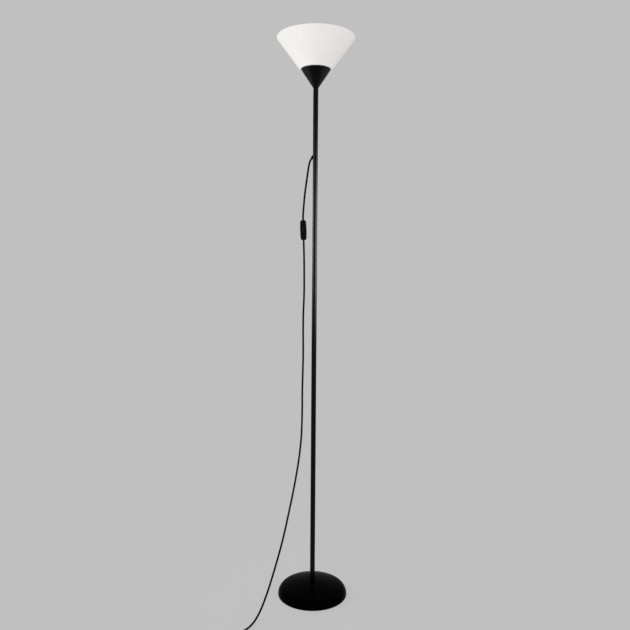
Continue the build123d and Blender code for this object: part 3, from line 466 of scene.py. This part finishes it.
def worked(name, tone, other_tone, marks, cloud, roughness, swing, depth):
    """A metal with fine marks and soft clouds.

    The marks' length along X, Y and Z, their depth and the clouds' width are in mm.
    """
    material, tree, place, shader = start(name)
    scale = [1 / (length * MM) for length in marks]
    drawn = add(tree, "ShaderNodeMapping", {"Vector": place, "Scale": scale}).outputs[0]
    lines = add(tree, "ShaderNodeTexNoise", {"Vector": drawn, "Scale": 1.0, "Detail": 3.0}).outputs["Fac"]
    clouds = add(tree, "ShaderNodeTexNoise", {"Vector": place, "Scale": 1 / (cloud * MM), "Detail": 2.0})
    both = add(tree, "ShaderNodeMath", {0: lines, 1: clouds.outputs["Fac"]}, operation="ADD").outputs[0]
    wear = {"Value": both, "From Min": MARKS_LOW, "From Max": MARKS_HIGH}
    share = add(tree, "ShaderNodeMapRange", wear).outputs["Result"]
    tones = {"Factor": share, "A": linear(tone), "B": linear(other_tone)}
    colour = add(tree, "ShaderNodeMix", tones, data_type="RGBA").outputs["Result"]
    limits = {"Value": share, "To Min": roughness - swing, "To Max": roughness + swing}
    rough = add(tree, "ShaderNodeMapRange", limits).outputs["Result"]
    dress(tree, shader, colour, lines, depth, rough, Metallic=1.0)
    return material


# Pressed brass: draw lines round the press axis, a little dulled by handling
pressed_brass = worked(
    "pressed_brass",
    "D1A760",
    "B98D48",
    marks=(9.0, 9.0, 0.3),
    cloud=5.0,
    roughness=0.28,
    swing=0.08,
    depth=0.01,
)
# Zinc plate over turned or rolled steel: bright, faintly blue, with rings from the tool
zinc_plated_steel = worked(
    "zinc_plated_steel",
    "C6CACC",
    "A6ABAF",
    marks=(6.0, 6.0, 0.25),
    cloud=6.0,
    roughness=0.3,
    swing=0.08,
    depth=0.01,
)
# Nickel plate on brass pins: bright, with rub marks along the way they go in
nickel_plate = worked(
    "nickel_plate",
    "DAD6CD",
    "C3BEB2",
    marks=(6.0, 0.2, 0.2),
    cloud=4.0,
    roughness=0.16,
    swing=0.05,
    depth=0.004,
)

# Hook-and-loop band: a plain weave, its threads 0.6 mm apart along and across the band; its dips are painted
# darker as shade and its raised crossings lighter as a painted sheen
woven_nylon, tree, place, shader = start("woven_nylon")
WEAVE_STEP = 0.6
WEAVE_HEIGHT = 0.15
band_place = add(tree, "ShaderNodeUVMap", uv_map="weave").outputs[0]
lay = {0: band_place, "Scale": pi / (WEAVE_STEP * MM)}
threads = add(tree, "ShaderNodeVectorMath", lay, operation="SCALE").outputs[0]
across = add(tree, "ShaderNodeSeparateXYZ", {0: threads}).outputs
warp = add(tree, "ShaderNodeMath", {0: across["X"]}, operation="SINE").outputs[0]
weft = add(tree, "ShaderNodeMath", {0: across["Y"]}, operation="SINE").outputs[0]
over = add(tree, "ShaderNodeMath", {0: warp, 1: weft}, operation="MULTIPLY").outputs[0]
woven = add(tree, "ShaderNodeMapRange", {"Value": over, "From Min": -1.0}).outputs["Result"]
# Painted shade in the weave's dips, painted sheen on its raised crossings
tones = {"Factor": woven, "A": linear("121212"), "B": linear("2B2B2B")}
shaded_weave = add(tree, "ShaderNodeMix", tones, data_type="RGBA").outputs["Result"]
dress(tree, shader, shaded_weave, woven, depth=WEAVE_HEIGHT, roughness=0.8, Sheen_Weight=0.15)

NODE_FINISHES = {
    opal_polypropylene: ["shade"],
    white_phenolic: ["shade_ring", "lampholder_skirt", "lampholder_cap"],
    steatite: ["lampholder_insert"],
    pressed_brass: [
        "screw_shell",
        "centre_contact",
        "terminal_blocks",
        "switch_contact_lever",
        "switch_contact_pivot",
        "switch_contact_fixed",
        "switch_through_link",
    ],
    zinc_plated_steel: [
        "terminal_screws",
        "nipple",
        "nipple_washer",
        "nipple_nut",
        "tube_inserts",
        "joint_studs",
        "base_stud",
        "base_washer",
        "base_nut",
        "switch_terminal_screws",
        "switch_screws",
    ],
    satin_black_abs: ["cup", "cord_bush"],
    black_powder_coat: ["top_tube", "upper_tube", "middle_tube", "lower_tube"],
    gloss_black_abs: ["base_cover"],
    soft_pvc_sheath: ["inner_cable", "cord_upper", "cord_lower", "cord_coil", "cord_tail"],
    overmoulded_pvc: ["plug_body", "pin_sleeves"],
    brown_pvc: ["live_core"],
    twin_core_pvc: ["switch_cores"],
    blue_pvc: ["neutral_core"],
    closed_cell_foam: ["base_pad"],
    cast_concrete: ["base_weight"],
    switch_abs: ["switch_front", "switch_back"],
    rocker_abs: ["switch_rocker"],
    nickel_plate: ["plug_pins"],
    woven_nylon: ["cord_tie"],
}
for finish, names in NODE_FINISHES.items():
    for name in names:
        nodes[name].data.materials.clear()
        nodes[name].data.materials.append(finish)


def sized_tree(name, sizes):
    """A node tree with these named sizes and a finish as inputs; gives the tree and its inputs."""
    tree = bpy.data.node_groups.new(name, "GeometryNodeTree")
    tree.interface.new_socket("Geometry", in_out="INPUT", socket_type="NodeSocketGeometry")
    for size in sizes:
        tree.interface.new_socket(size, in_out="INPUT", socket_type="NodeSocketFloat")
    tree.interface.new_socket("Finish", in_out="INPUT", socket_type="NodeSocketMaterial")
    tree.interface.new_socket("Geometry", in_out="OUTPUT", socket_type="NodeSocketGeometry")
    return tree, add(tree, "NodeGroupInput").outputs


def close_tree(tree, shape, finish):
    """End a tree: make its copies real and give them their finish."""
    real = add(tree, "GeometryNodeRealizeInstances", {"Geometry": shape})
    done = add(tree, "GeometryNodeSetMaterial", {"Geometry": real.outputs[0], "Material": finish})
    add(tree, "NodeGroupOutput", {"Geometry": done.outputs[0]})


def grown(name, tree, places, inputs):
    """A plain mesh piece that this tree makes from these places, with its inputs set."""
    mesh = bpy.data.meshes.new(name)
    mesh.from_pydata([place * MM for place in places], [], [])
    piece = bpy.data.objects.new(name, mesh)
    scene.collection.objects.link(piece)
    modifier = piece.modifiers.new(name, "NODES")
    modifier.node_group = tree
    for socket in tree.interface.items_tree:
        if socket.name in inputs:
            modifier[socket.identifier] = inputs[socket.name]
    graph = bpy.context.evaluated_depsgraph_get()
    made = bpy.data.meshes.new_from_object(piece.evaluated_get(graph))
    piece.modifiers.remove(modifier)
    piece.data = made
    return piece


def settle(piece, slot, *replaced):
    """A finished piece of the standing lamp, in place of these solids."""
    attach(piece, "lamp")
    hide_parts(*replaced)


# Screw shell: sheet brass with the bulb's round thread rolled into it
SHELL_RADIUS = 13.25
SHELL_SHEET = 0.4
THREAD_DEPTH = 0.5
THREAD_PITCH = 3.629
SHELL_COLUMNS = 97
SHELL_ROWS = 81
# The thread runs out towards the foot and the lip, between these shares of the height
FOOT_RUN = (0.02, 0.14)
LIP_RUN = (0.98, 0.88)
SEAM_REACH = 0.01
shell_low, shell_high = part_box("screw_shell")
tree, sizes = sized_tree("rolled_thread", ["Radius", "Depth", "Pitch", "Height", "Base"])
sheet = add(
    tree,
    "GeometryNodeMeshGrid",
    {"Size X": 1.0, "Size Y": 1.0, "Vertices X": SHELL_COLUMNS, "Vertices Y": SHELL_ROWS},
)
share = add(tree, "ShaderNodeSeparateXYZ", {0: add(tree, "GeometryNodeInputPosition").outputs[0]}).outputs
angle = add(tree, "ShaderNodeMath", {0: share["X"], 1: 2 * pi}, operation="MULTIPLY").outputs[0]
level = add(tree, "ShaderNodeMath", {0: share["Y"], 1: 0.5}, operation="ADD").outputs[0]
rise = add(tree, "ShaderNodeMath", {0: level, 1: sizes["Height"]}, operation="MULTIPLY").outputs[0]
turns = add(tree, "ShaderNodeMath", {0: rise, 1: sizes["Pitch"]}, operation="DIVIDE").outputs[0]
whole = add(tree, "ShaderNodeMath", {0: turns, 1: 2 * pi}, operation="MULTIPLY").outputs[0]
phase = add(tree, "ShaderNodeMath", {0: whole, 1: angle}, operation="SUBTRACT").outputs[0]
wave = add(tree, "ShaderNodeMath", {0: phase}, operation="COSINE").outputs[0]
ends = [
    add(tree, "ShaderNodeMapRange", {"Value": level, "From Min": plain, "From Max": full}).outputs["Result"]
    for plain, full in (FOOT_RUN, LIP_RUN)
]
runout = add(tree, "ShaderNodeMath", {0: ends[0], 1: ends[1]}, operation="MULTIPLY").outputs[0]
swell = add(tree, "ShaderNodeMath", {0: wave, 1: runout}, operation="MULTIPLY").outputs[0]
depth = add(tree, "ShaderNodeMath", {0: swell, 1: sizes["Depth"]}, operation="MULTIPLY").outputs[0]
radius = add(tree, "ShaderNodeMath", {0: depth, 1: sizes["Radius"]}, operation="ADD").outputs[0]
ahead = add(tree, "ShaderNodeMath", {0: angle}, operation="COSINE").outputs[0]
aside = add(tree, "ShaderNodeMath", {0: angle}, operation="SINE").outputs[0]
across = add(tree, "ShaderNodeMath", {0: ahead, 1: radius}, operation="MULTIPLY").outputs[0]
along = add(tree, "ShaderNodeMath", {0: aside, 1: radius}, operation="MULTIPLY").outputs[0]
up = add(tree, "ShaderNodeMath", {0: rise, 1: sizes["Base"]}, operation="ADD").outputs[0]
point = add(tree, "ShaderNodeCombineXYZ", {"X": across, "Y": along, "Z": up})
rolled = add(
    tree,
    "GeometryNodeSetPosition",
    {"Geometry": sheet.outputs["Mesh"], "Position": point.outputs[0]},
)
joined = add(
    tree,
    "GeometryNodeMergeByDistance",
    {"Geometry": rolled.outputs[0], "Distance": SEAM_REACH * MM},
)
smooth = add(tree, "GeometryNodeSetShadeSmooth", {"Geometry": joined.outputs[0]})
close_tree(tree, smooth.outputs[0], sizes["Finish"])
threaded_shell = grown(
    "threaded_shell",
    tree,
    [Vector((0.0, 0.0, 0.0))],
    {
        "Radius": SHELL_RADIUS * MM,
        "Depth": THREAD_DEPTH * MM,
        "Pitch": THREAD_PITCH * MM,
        "Height": shell_high[2] - shell_low[2],
        "Base": shell_low[2],
        "Finish": pressed_brass,
    },
)
wall = threaded_shell.modifiers.new("wall", "SOLIDIFY")
wall.thickness = SHELL_SHEET * MM
wall.offset = 1.0
settle(threaded_shell, "brass", "screw_shell")

# Cross-head screws in the switch's back
SWITCH_SIDE = Vector((cos(SWITCH_LEAN), 0.0, sin(SWITCH_LEAN)))
SWITCH_BACK = Vector((0.0, 8.5, 0.0))
SCREW_PLACES = [(5.6, 25.0), (-5.6, -25.0)]
# The head's face and its cross's bars as shares of its radius, and the second bar's depth as a share
FACE_SHARE = 0.9
BAR_SHARE = 1.2
SHALLOW_SHARE = 0.9
HEAD_FACETS = 40
SHANK_FACETS = 24
screw_sizes = ["Head Radius", "Head Height", "Shank Radius", "Shank Length", "Slot"]
tree, sizes = sized_tree("cross_head_screw", screw_sizes)
deep = add(tree, "ShaderNodeMath", {0: sizes["Head Height"], 1: -1.0}, operation="MULTIPLY").outputs[0]
face = add(tree, "ShaderNodeMath", {0: sizes["Head Radius"], 1: FACE_SHARE}, operation="MULTIPLY").outputs[0]
head = add(
    tree,
    "GeometryNodeMeshCone",
    {
        "Vertices": HEAD_FACETS,
        "Radius Top": face,
        "Radius Bottom": sizes["Head Radius"],
        "Depth": sizes["Head Height"],
    },
)
head_place = add(tree, "ShaderNodeCombineXYZ", {"Z": deep})
sunk = add(
    tree,
    "GeometryNodeTransform",
    {"Geometry": head.outputs["Mesh"], "Translation": head_place.outputs[0]},
)
bar_reach = {0: sizes["Head Radius"], 1: BAR_SHARE}
reach = add(tree, "ShaderNodeMath", bar_reach, operation="MULTIPLY").outputs[0]
bar_depth = {0: sizes["Head Height"], 1: SHALLOW_SHARE}
shallow = add(tree, "ShaderNodeMath", bar_depth, operation="MULTIPLY").outputs[0]
bar_sizes = [
    {"X": reach, "Y": sizes["Slot"], "Z": sizes["Head Height"]},
    {"X": sizes["Slot"], "Y": reach, "Z": shallow},
]
bars = [
    add(tree, "GeometryNodeMeshCube", {"Size": add(tree, "ShaderNodeCombineXYZ", size).outputs[0]})
    for size in bar_sizes
]
cut = add(
    tree,
    "GeometryNodeMeshBoolean",
    {"Mesh 1": sunk.outputs[0], "Mesh 2": bars[0].outputs["Mesh"]},
    operation="DIFFERENCE",
)
tree.links.new(bars[1].outputs["Mesh"], cut.inputs["Mesh 2"])
shank = add(
    tree,
    "GeometryNodeMeshCylinder",
    {"Vertices": SHANK_FACETS, "Radius": sizes["Shank Radius"], "Depth": sizes["Shank Length"]},
)
half = add(tree, "ShaderNodeMath", {0: sizes["Shank Length"], 1: -0.5}, operation="MULTIPLY").outputs[0]
low = add(tree, "ShaderNodeMath", {0: half, 1: sizes["Head Height"]}, operation="SUBTRACT").outputs[0]
shank_place = add(tree, "ShaderNodeCombineXYZ", {"Z": low})
below = add(
    tree,
    "GeometryNodeTransform",
    {"Geometry": shank.outputs["Mesh"], "Translation": shank_place.outputs[0]},
)
screw = add(tree, "GeometryNodeJoinGeometry", {0: cut.outputs["Mesh"]})
tree.links.new(below.outputs[0], screw.inputs[0])
copies = add(
    tree,
    "GeometryNodeInstanceOnPoints",
    {"Points": sizes["Geometry"], "Instance": screw.outputs[0], "Rotation": (-pi / 2, 0.0, 0.0)},
)
close_tree(tree, copies.outputs[0], sizes["Finish"])
shell_screws = grown(
    "shell_screws",
    tree,
    [SWITCH + SWITCH_SIDE * side + SWITCH_UP * end + SWITCH_BACK for side, end in SCREW_PLACES],
    {
        "Head Radius": 2.1 * MM,
        "Head Height": 1.6 * MM,
        "Shank Radius": 1.25 * MM,
        "Shank Length": 11.4 * MM,
        "Slot": 0.6 * MM,
        "Finish": zinc_plated_steel,
    },
)
settle(shell_screws, "zinc_steel", "switch_screws")


def surface(name, rows, closed, finish):
    """A mesh piece skinned over rows of points, each row closed or open."""
    shape = bmesh.new()
    grid = [[shape.verts.new(point * MM) for point in row] for row in rows]
    for row, following in zip(grid, grid[1:]):
        count = len(row) if closed else len(row) - 1
        for place in range(count):
            after = (place + 1) % len(row)
            shape.faces.new((row[place], row[after], following[after], following[place]))
    if closed:
        shape.faces.new(reversed(grid[0]))
        shape.faces.new(grid[-1])
    mesh = bpy.data.meshes.new(name)
    shape.to_mesh(mesh)
    shape.free()
    mesh.materials.append(finish)
    mesh.shade_smooth()
    piece = bpy.data.objects.new(name, mesh)
    scene.collection.objects.link(piece)
    return piece


# Foam pad under the base: die-cut sheet, its edge softly rounded, its underside pressed a little uneven
pad_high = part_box("base_pad")[1]
PAD_RADIUS = pad_high[0] / MM
PAD_THICKNESS = pad_high[2] / MM
PAD_STEPS = 120
PAD_WAVE = 0.08
# The underside's two crossed ripples: how many go round, and how each turns on the way out
PAD_RIPPLES = [(3, 9), (5, -4)]
# Shares of the radius and of the thickness, from the middle of the underside round the edge to the top
PAD_PROFILE = [
    (0.15, 0.0),
    (0.4, 0.0),
    (0.7, 0.0),
    (0.9, 0.0),
    (0.98, 0.0),
    (0.993, 0.06),
    (0.9985, 0.22),
    (1.0, 0.5),
    (0.9985, 0.78),
    (0.993, 0.94),
    (0.98, 1.0),
    (0.7, 1.0),
    (0.3, 1.0),
]
pad_rows = []
for reach, share in PAD_PROFILE:
    row = []
    for step in range(PAD_STEPS):
        angle = 2 * pi * step / PAD_STEPS
        ripple = prod(sin(count * angle + twist * reach) for count, twist in PAD_RIPPLES)
        wave = PAD_WAVE * (1 + ripple) if share == 0.0 else 0.0
        out = PAD_RADIUS * reach
        row.append(Vector((out * cos(angle), out * sin(angle), PAD_THICKNESS * share + wave)))
    pad_rows.append(row)
foam_pad = surface("foam_pad", pad_rows, True, closed_cell_foam)
settle(foam_pad, "pad_foam", "base_pad")

# Hook-and-loop band round the coil's bundle: its free end lies over its start
TIE_TURN = 0.75
TIE_WIDTH = 10.0
TIE_THICKNESS = 0.8
TIE_CORNER = 3.0
TIE_SLIP = 0.25
TIE_LAP = 17.0
TIE_STEP = 0.8
TIE_RISE_START = 8.0
TIE_RISE = 6.0
TIE_GAP = 0.06
tie_radii = [coil_shape(TIE_TURN + count)[0] for count in range(COIL_WHOLE_TURNS)]
tie_angle = coil_start_angle + 2 * pi * TIE_TURN
tie_out = Vector((cos(tie_angle), sin(tie_angle), 0.0))
tie_side = Vector((-tie_out.y, tie_out.x, 0.0))
tie_swell = TIE_WIDTH**2 / (8 * coil_inner) + TIE_SLIP
tie_half_width = (max(tie_radii) - min(tie_radii)) / 2 + CORD_RADIUS + tie_swell + TIE_THICKNESS / 2
tie_half_height = LAYER_STEP / 2 + CORD_RADIUS + TIE_SLIP + TIE_THICKNESS / 2
tie_middle = (max(tie_radii) + min(tie_radii)) / 2
tie_centre = coil_centre + tie_out * tie_middle + Vector((0.0, 0.0, LAYER_STEP / 2))
tie_round = TIE_CORNER + TIE_THICKNESS / 2


def loop_point(run, proud):
    """A point of the band's rounded rectangle, this far along from its top's middle and this far proud."""
    flat = 2 * (tie_half_width - tie_round)
    tall = 2 * (tie_half_height - tie_round)
    bend = pi / 2 * tie_round
    run = (run + flat / 2) % (2 * (flat + tall + 2 * bend))
    for side, length in enumerate((flat, tall, flat, tall)):
        turn = Matrix.Rotation(-pi / 2 * side, 2)
        corner = (tie_half_width if side % 2 == 0 else tie_half_height) - tie_round
        away = (tie_half_height if side % 2 == 0 else tie_half_width) + proud
        if run <= length:
            return turn @ Vector((run - length / 2, away))
        run -= length
        if run <= bend:
            angle = pi / 2 - run / tie_round
            reach = tie_round + proud
            return turn @ Vector((corner + reach * cos(angle), away - reach + reach * sin(angle)))
        run -= bend


tie_round_trip = 4 * (tie_half_width + tie_half_height - 2 * tie_round) + 2 * pi * tie_round
tie_count = round((tie_round_trip + TIE_LAP) / TIE_STEP)
TIE_EDGES = (-0.5, -0.46, -0.25, 0.0, 0.25, 0.46, 0.5)
TIE_EDGE_DROP = 0.12
tie_rows = []
for step in range(tie_count + 1):
    run = (tie_round_trip + TIE_LAP) * step / tie_count
    lapped = min(max((run - tie_round_trip + TIE_RISE_START) / TIE_RISE, 0.0), 1.0)
    lift = (TIE_THICKNESS + TIE_GAP) * lapped * lapped * (3 - 2 * lapped)
    row = []
    for share in TIE_EDGES:
        proud = lift - TIE_EDGE_DROP * (abs(share) == 0.5)
        point = loop_point(run - TIE_LAP / 2, proud)
        middle = tie_centre + tie_out * point.x + Vector((0.0, 0.0, point.y))
        row.append(middle + tie_side * (share * TIE_WIDTH))
    tie_rows.append(row)
coil_band = surface("coil_band", tie_rows, False, woven_nylon)
weave = coil_band.data.uv_layers.new(name="weave")
for corner in coil_band.data.loops:
    step, place = divmod(corner.vertex_index, len(TIE_EDGES))
    weave.data[corner.index].uv = (step * TIE_STEP * MM, (TIE_EDGES[place] + 0.5) * TIE_WIDTH * MM)
webbing = coil_band.modifiers.new("webbing", "SOLIDIFY")
webbing.thickness = TIE_THICKNESS * MM
webbing.offset = 0.0
settle(coil_band, "tie_band", "cord_tie")


# Cords
upper_cord = cord_piece("upper_cord", upper_route, soft_pvc_sheath)
lower_cord = cord_piece("lower_cord", lower_route, soft_pvc_sheath)
settle(upper_cord, "cord_pvc", "cord_upper")
settle(lower_cord, "cord_pvc", "cord_lower", "cord_coil", "cord_tail")


# Floor and light
BACKGROUND = "C0C0C0"
AMBIENT = 0.86
FLOOR_TONE = "C5C5C5"
BOUNCE_TONE = "EDEDED"
SHADOW_SHARE = 0.2
SHADOW_REACH = 0.45
SHADOW_CORE = 0.12
FLOOR_SIZE = 20.0

floor_mesh = bpy.data.meshes.new("floor")
floor_shape = bmesh.new()
bmesh.ops.create_grid(floor_shape, x_segments=1, y_segments=1, size=FLOOR_SIZE)
floor_shape.to_mesh(floor_mesh)
floor_shape.free()
floor = bpy.data.objects.new("floor", floor_mesh)
scene.collection.objects.link(floor)


def shows_ground(tree):
    """One for the rays that show the flat ground: the eye's, and those that gloss or glass sends on."""
    rays = add(tree, "ShaderNodeLightPath").outputs
    straight = {0: rays["Is Camera Ray"], 1: rays["Is Glossy Ray"]}
    gloss = add(tree, "ShaderNodeMath", straight, operation="MAXIMUM").outputs[0]
    through = {0: gloss, 1: rays["Is Transmission Ray"]}
    return add(tree, "ShaderNodeMath", through, operation="MAXIMUM").outputs[0]


# The floor is flat grey to the eye and in gloss, and keeps a soft shadow near the lamp
ground = bpy.data.materials.new("floor")
ground.use_nodes = True
tree = ground.node_tree
tree.nodes.clear()
place = add(tree, "ShaderNodeTexCoord").outputs["Object"]
reach = add(tree, "ShaderNodeVectorMath", {0: place}, operation="LENGTH")
fade = {
    "Value": reach.outputs["Value"],
    "From Min": SHADOW_REACH,
    "From Max": SHADOW_CORE,
    "To Max": SHADOW_SHARE,
}
near = add(tree, "ShaderNodeMapRange", fade, interpolation_type="SMOOTHSTEP").outputs["Result"]
flat = add(tree, "ShaderNodeEmission", {"Color": linear(BACKGROUND)})
matt = add(tree, "ShaderNodeBsdfDiffuse", {"Color": linear(FLOOR_TONE)})
bounce = add(tree, "ShaderNodeBsdfDiffuse", {"Color": linear(BOUNCE_TONE)})
seen = add(tree, "ShaderNodeMixShader", {0: near, 1: flat.outputs[0], 2: matt.outputs[0]})
both = add(tree, "ShaderNodeMixShader", {0: shows_ground(tree), 1: bounce.outputs[0], 2: seen.outputs[0]})
add(tree, "ShaderNodeOutputMaterial", {"Surface": both.outputs[0]})
floor_mesh.materials.append(ground)

# The world is the same flat grey to the eye and in gloss, and even light on the object
world = bpy.data.worlds.new("studio")
scene.world = world
world.use_nodes = True
tree = world.node_tree
tree.nodes.clear()
level = add(tree, "ShaderNodeMix", {"Factor": shows_ground(tree), "A": AMBIENT, "B": linear(BACKGROUND)[0]})
sky = add(tree, "ShaderNodeBackground", {"Color": linear("FFFFFF"), "Strength": level.outputs[0]})
add(tree, "ShaderNodeOutputWorld", {"Surface": sky.outputs[0]})


def softbox(name, lit_pieces, azimuth, distance, height, width, tall, power, drop=0.0):
    """A soft light that fades to its edges, turned to the pole, at an angle round from the camera's side.

    It looks level, or this far down. Given pieces, it only shows in their gloss; given none, it lights
    everything that is matt.
    """
    turn = radians(azimuth)
    place = Vector((distance * sin(turn), -distance * cos(turn), height))
    data = bpy.data.lights.new(name, "AREA")
    data.shape = "RECTANGLE"
    data.size = width
    data.size_y = tall
    data.energy = power
    data.use_nodes = True
    tree = data.node_tree
    tree.nodes.clear()
    across = add(tree, "ShaderNodeNewGeometry").outputs["Parametric"]
    row = add(tree, "ShaderNodeSeparateXYZ", {0: across}).outputs["Y"]
    off_middle = add(tree, "ShaderNodeMath", {0: row, 1: 0.5}, operation="SUBTRACT").outputs[0]
    edge = add(tree, "ShaderNodeMath", {0: off_middle}, operation="ABSOLUTE").outputs[0]
    fade = {"Value": edge, "From Min": 0.5, "From Max": 0.0}
    level = add(tree, "ShaderNodeMapRange", fade, interpolation_type="SMOOTHSTEP").outputs["Result"]
    glow = add(tree, "ShaderNodeEmission", {"Strength": level})
    add(tree, "ShaderNodeOutputLight", {"Surface": glow.outputs[0]})
    lamp = bpy.data.objects.new(name, data)
    facing = Vector((-place.x, -place.y, -drop)).to_track_quat("-Z", "Y")
    lamp.matrix_world = Matrix.Translation(place) @ facing.to_matrix().to_4x4()
    if lit_pieces:
        lamp.visible_diffuse = False
        lamp.light_linking.receiver_collection = bpy.data.collections.new(name)
        for piece in lit_pieces:
            lamp.light_linking.receiver_collection.objects.link(piece)
    else:
        lamp.visible_glossy = False
    scene.collection.objects.link(lamp)


# Strips draw the highlights down the tubes alone; their glare would burn out a pale shade seen from behind
tubes = [nodes[name] for name in ("top_tube", "upper_tube", "middle_tube", "lower_tube")]
strip = {"distance": 2.5, "tall": 1.7}
softbox("left_strip", tubes, azimuth=-72.0, height=1.33, width=1.8, power=132.0, **strip)
softbox("right_strip", tubes, azimuth=64.0, height=1.25, width=2.8, power=250.0, **strip)
softbox("back_left_strip", tubes, azimuth=-150.0, height=1.3, width=0.7, power=20.0, **strip)
softbox("back_right_strip", tubes, azimuth=140.0, height=1.3, width=0.7, power=20.0, **strip)
# The cup's wall faces down, so two sheets low at its sides draw the bands on it
cup = [nodes["cup"]]
low_sheet = {"distance": 1.77, "height": 0.5, "width": 1.7, "tall": 1.4, "drop": -1.15}
softbox("cup_left", cup, azimuth=-99.0, power=21.0, **low_sheet)
softbox("cup_right", cup, azimuth=99.0, power=17.0, **low_sheet)
# Two soft keys shade the pale head from the left to the right
key = {"distance": 2.2, "height": 1.3, "width": 1.2, "tall": 1.2}
softbox("side_key", [], azimuth=-90.0, power=25.0, **key)
softbox("front_key", [], azimuth=0.0, power=12.0, **key)

scene.view_settings.view_transform = "Standard"
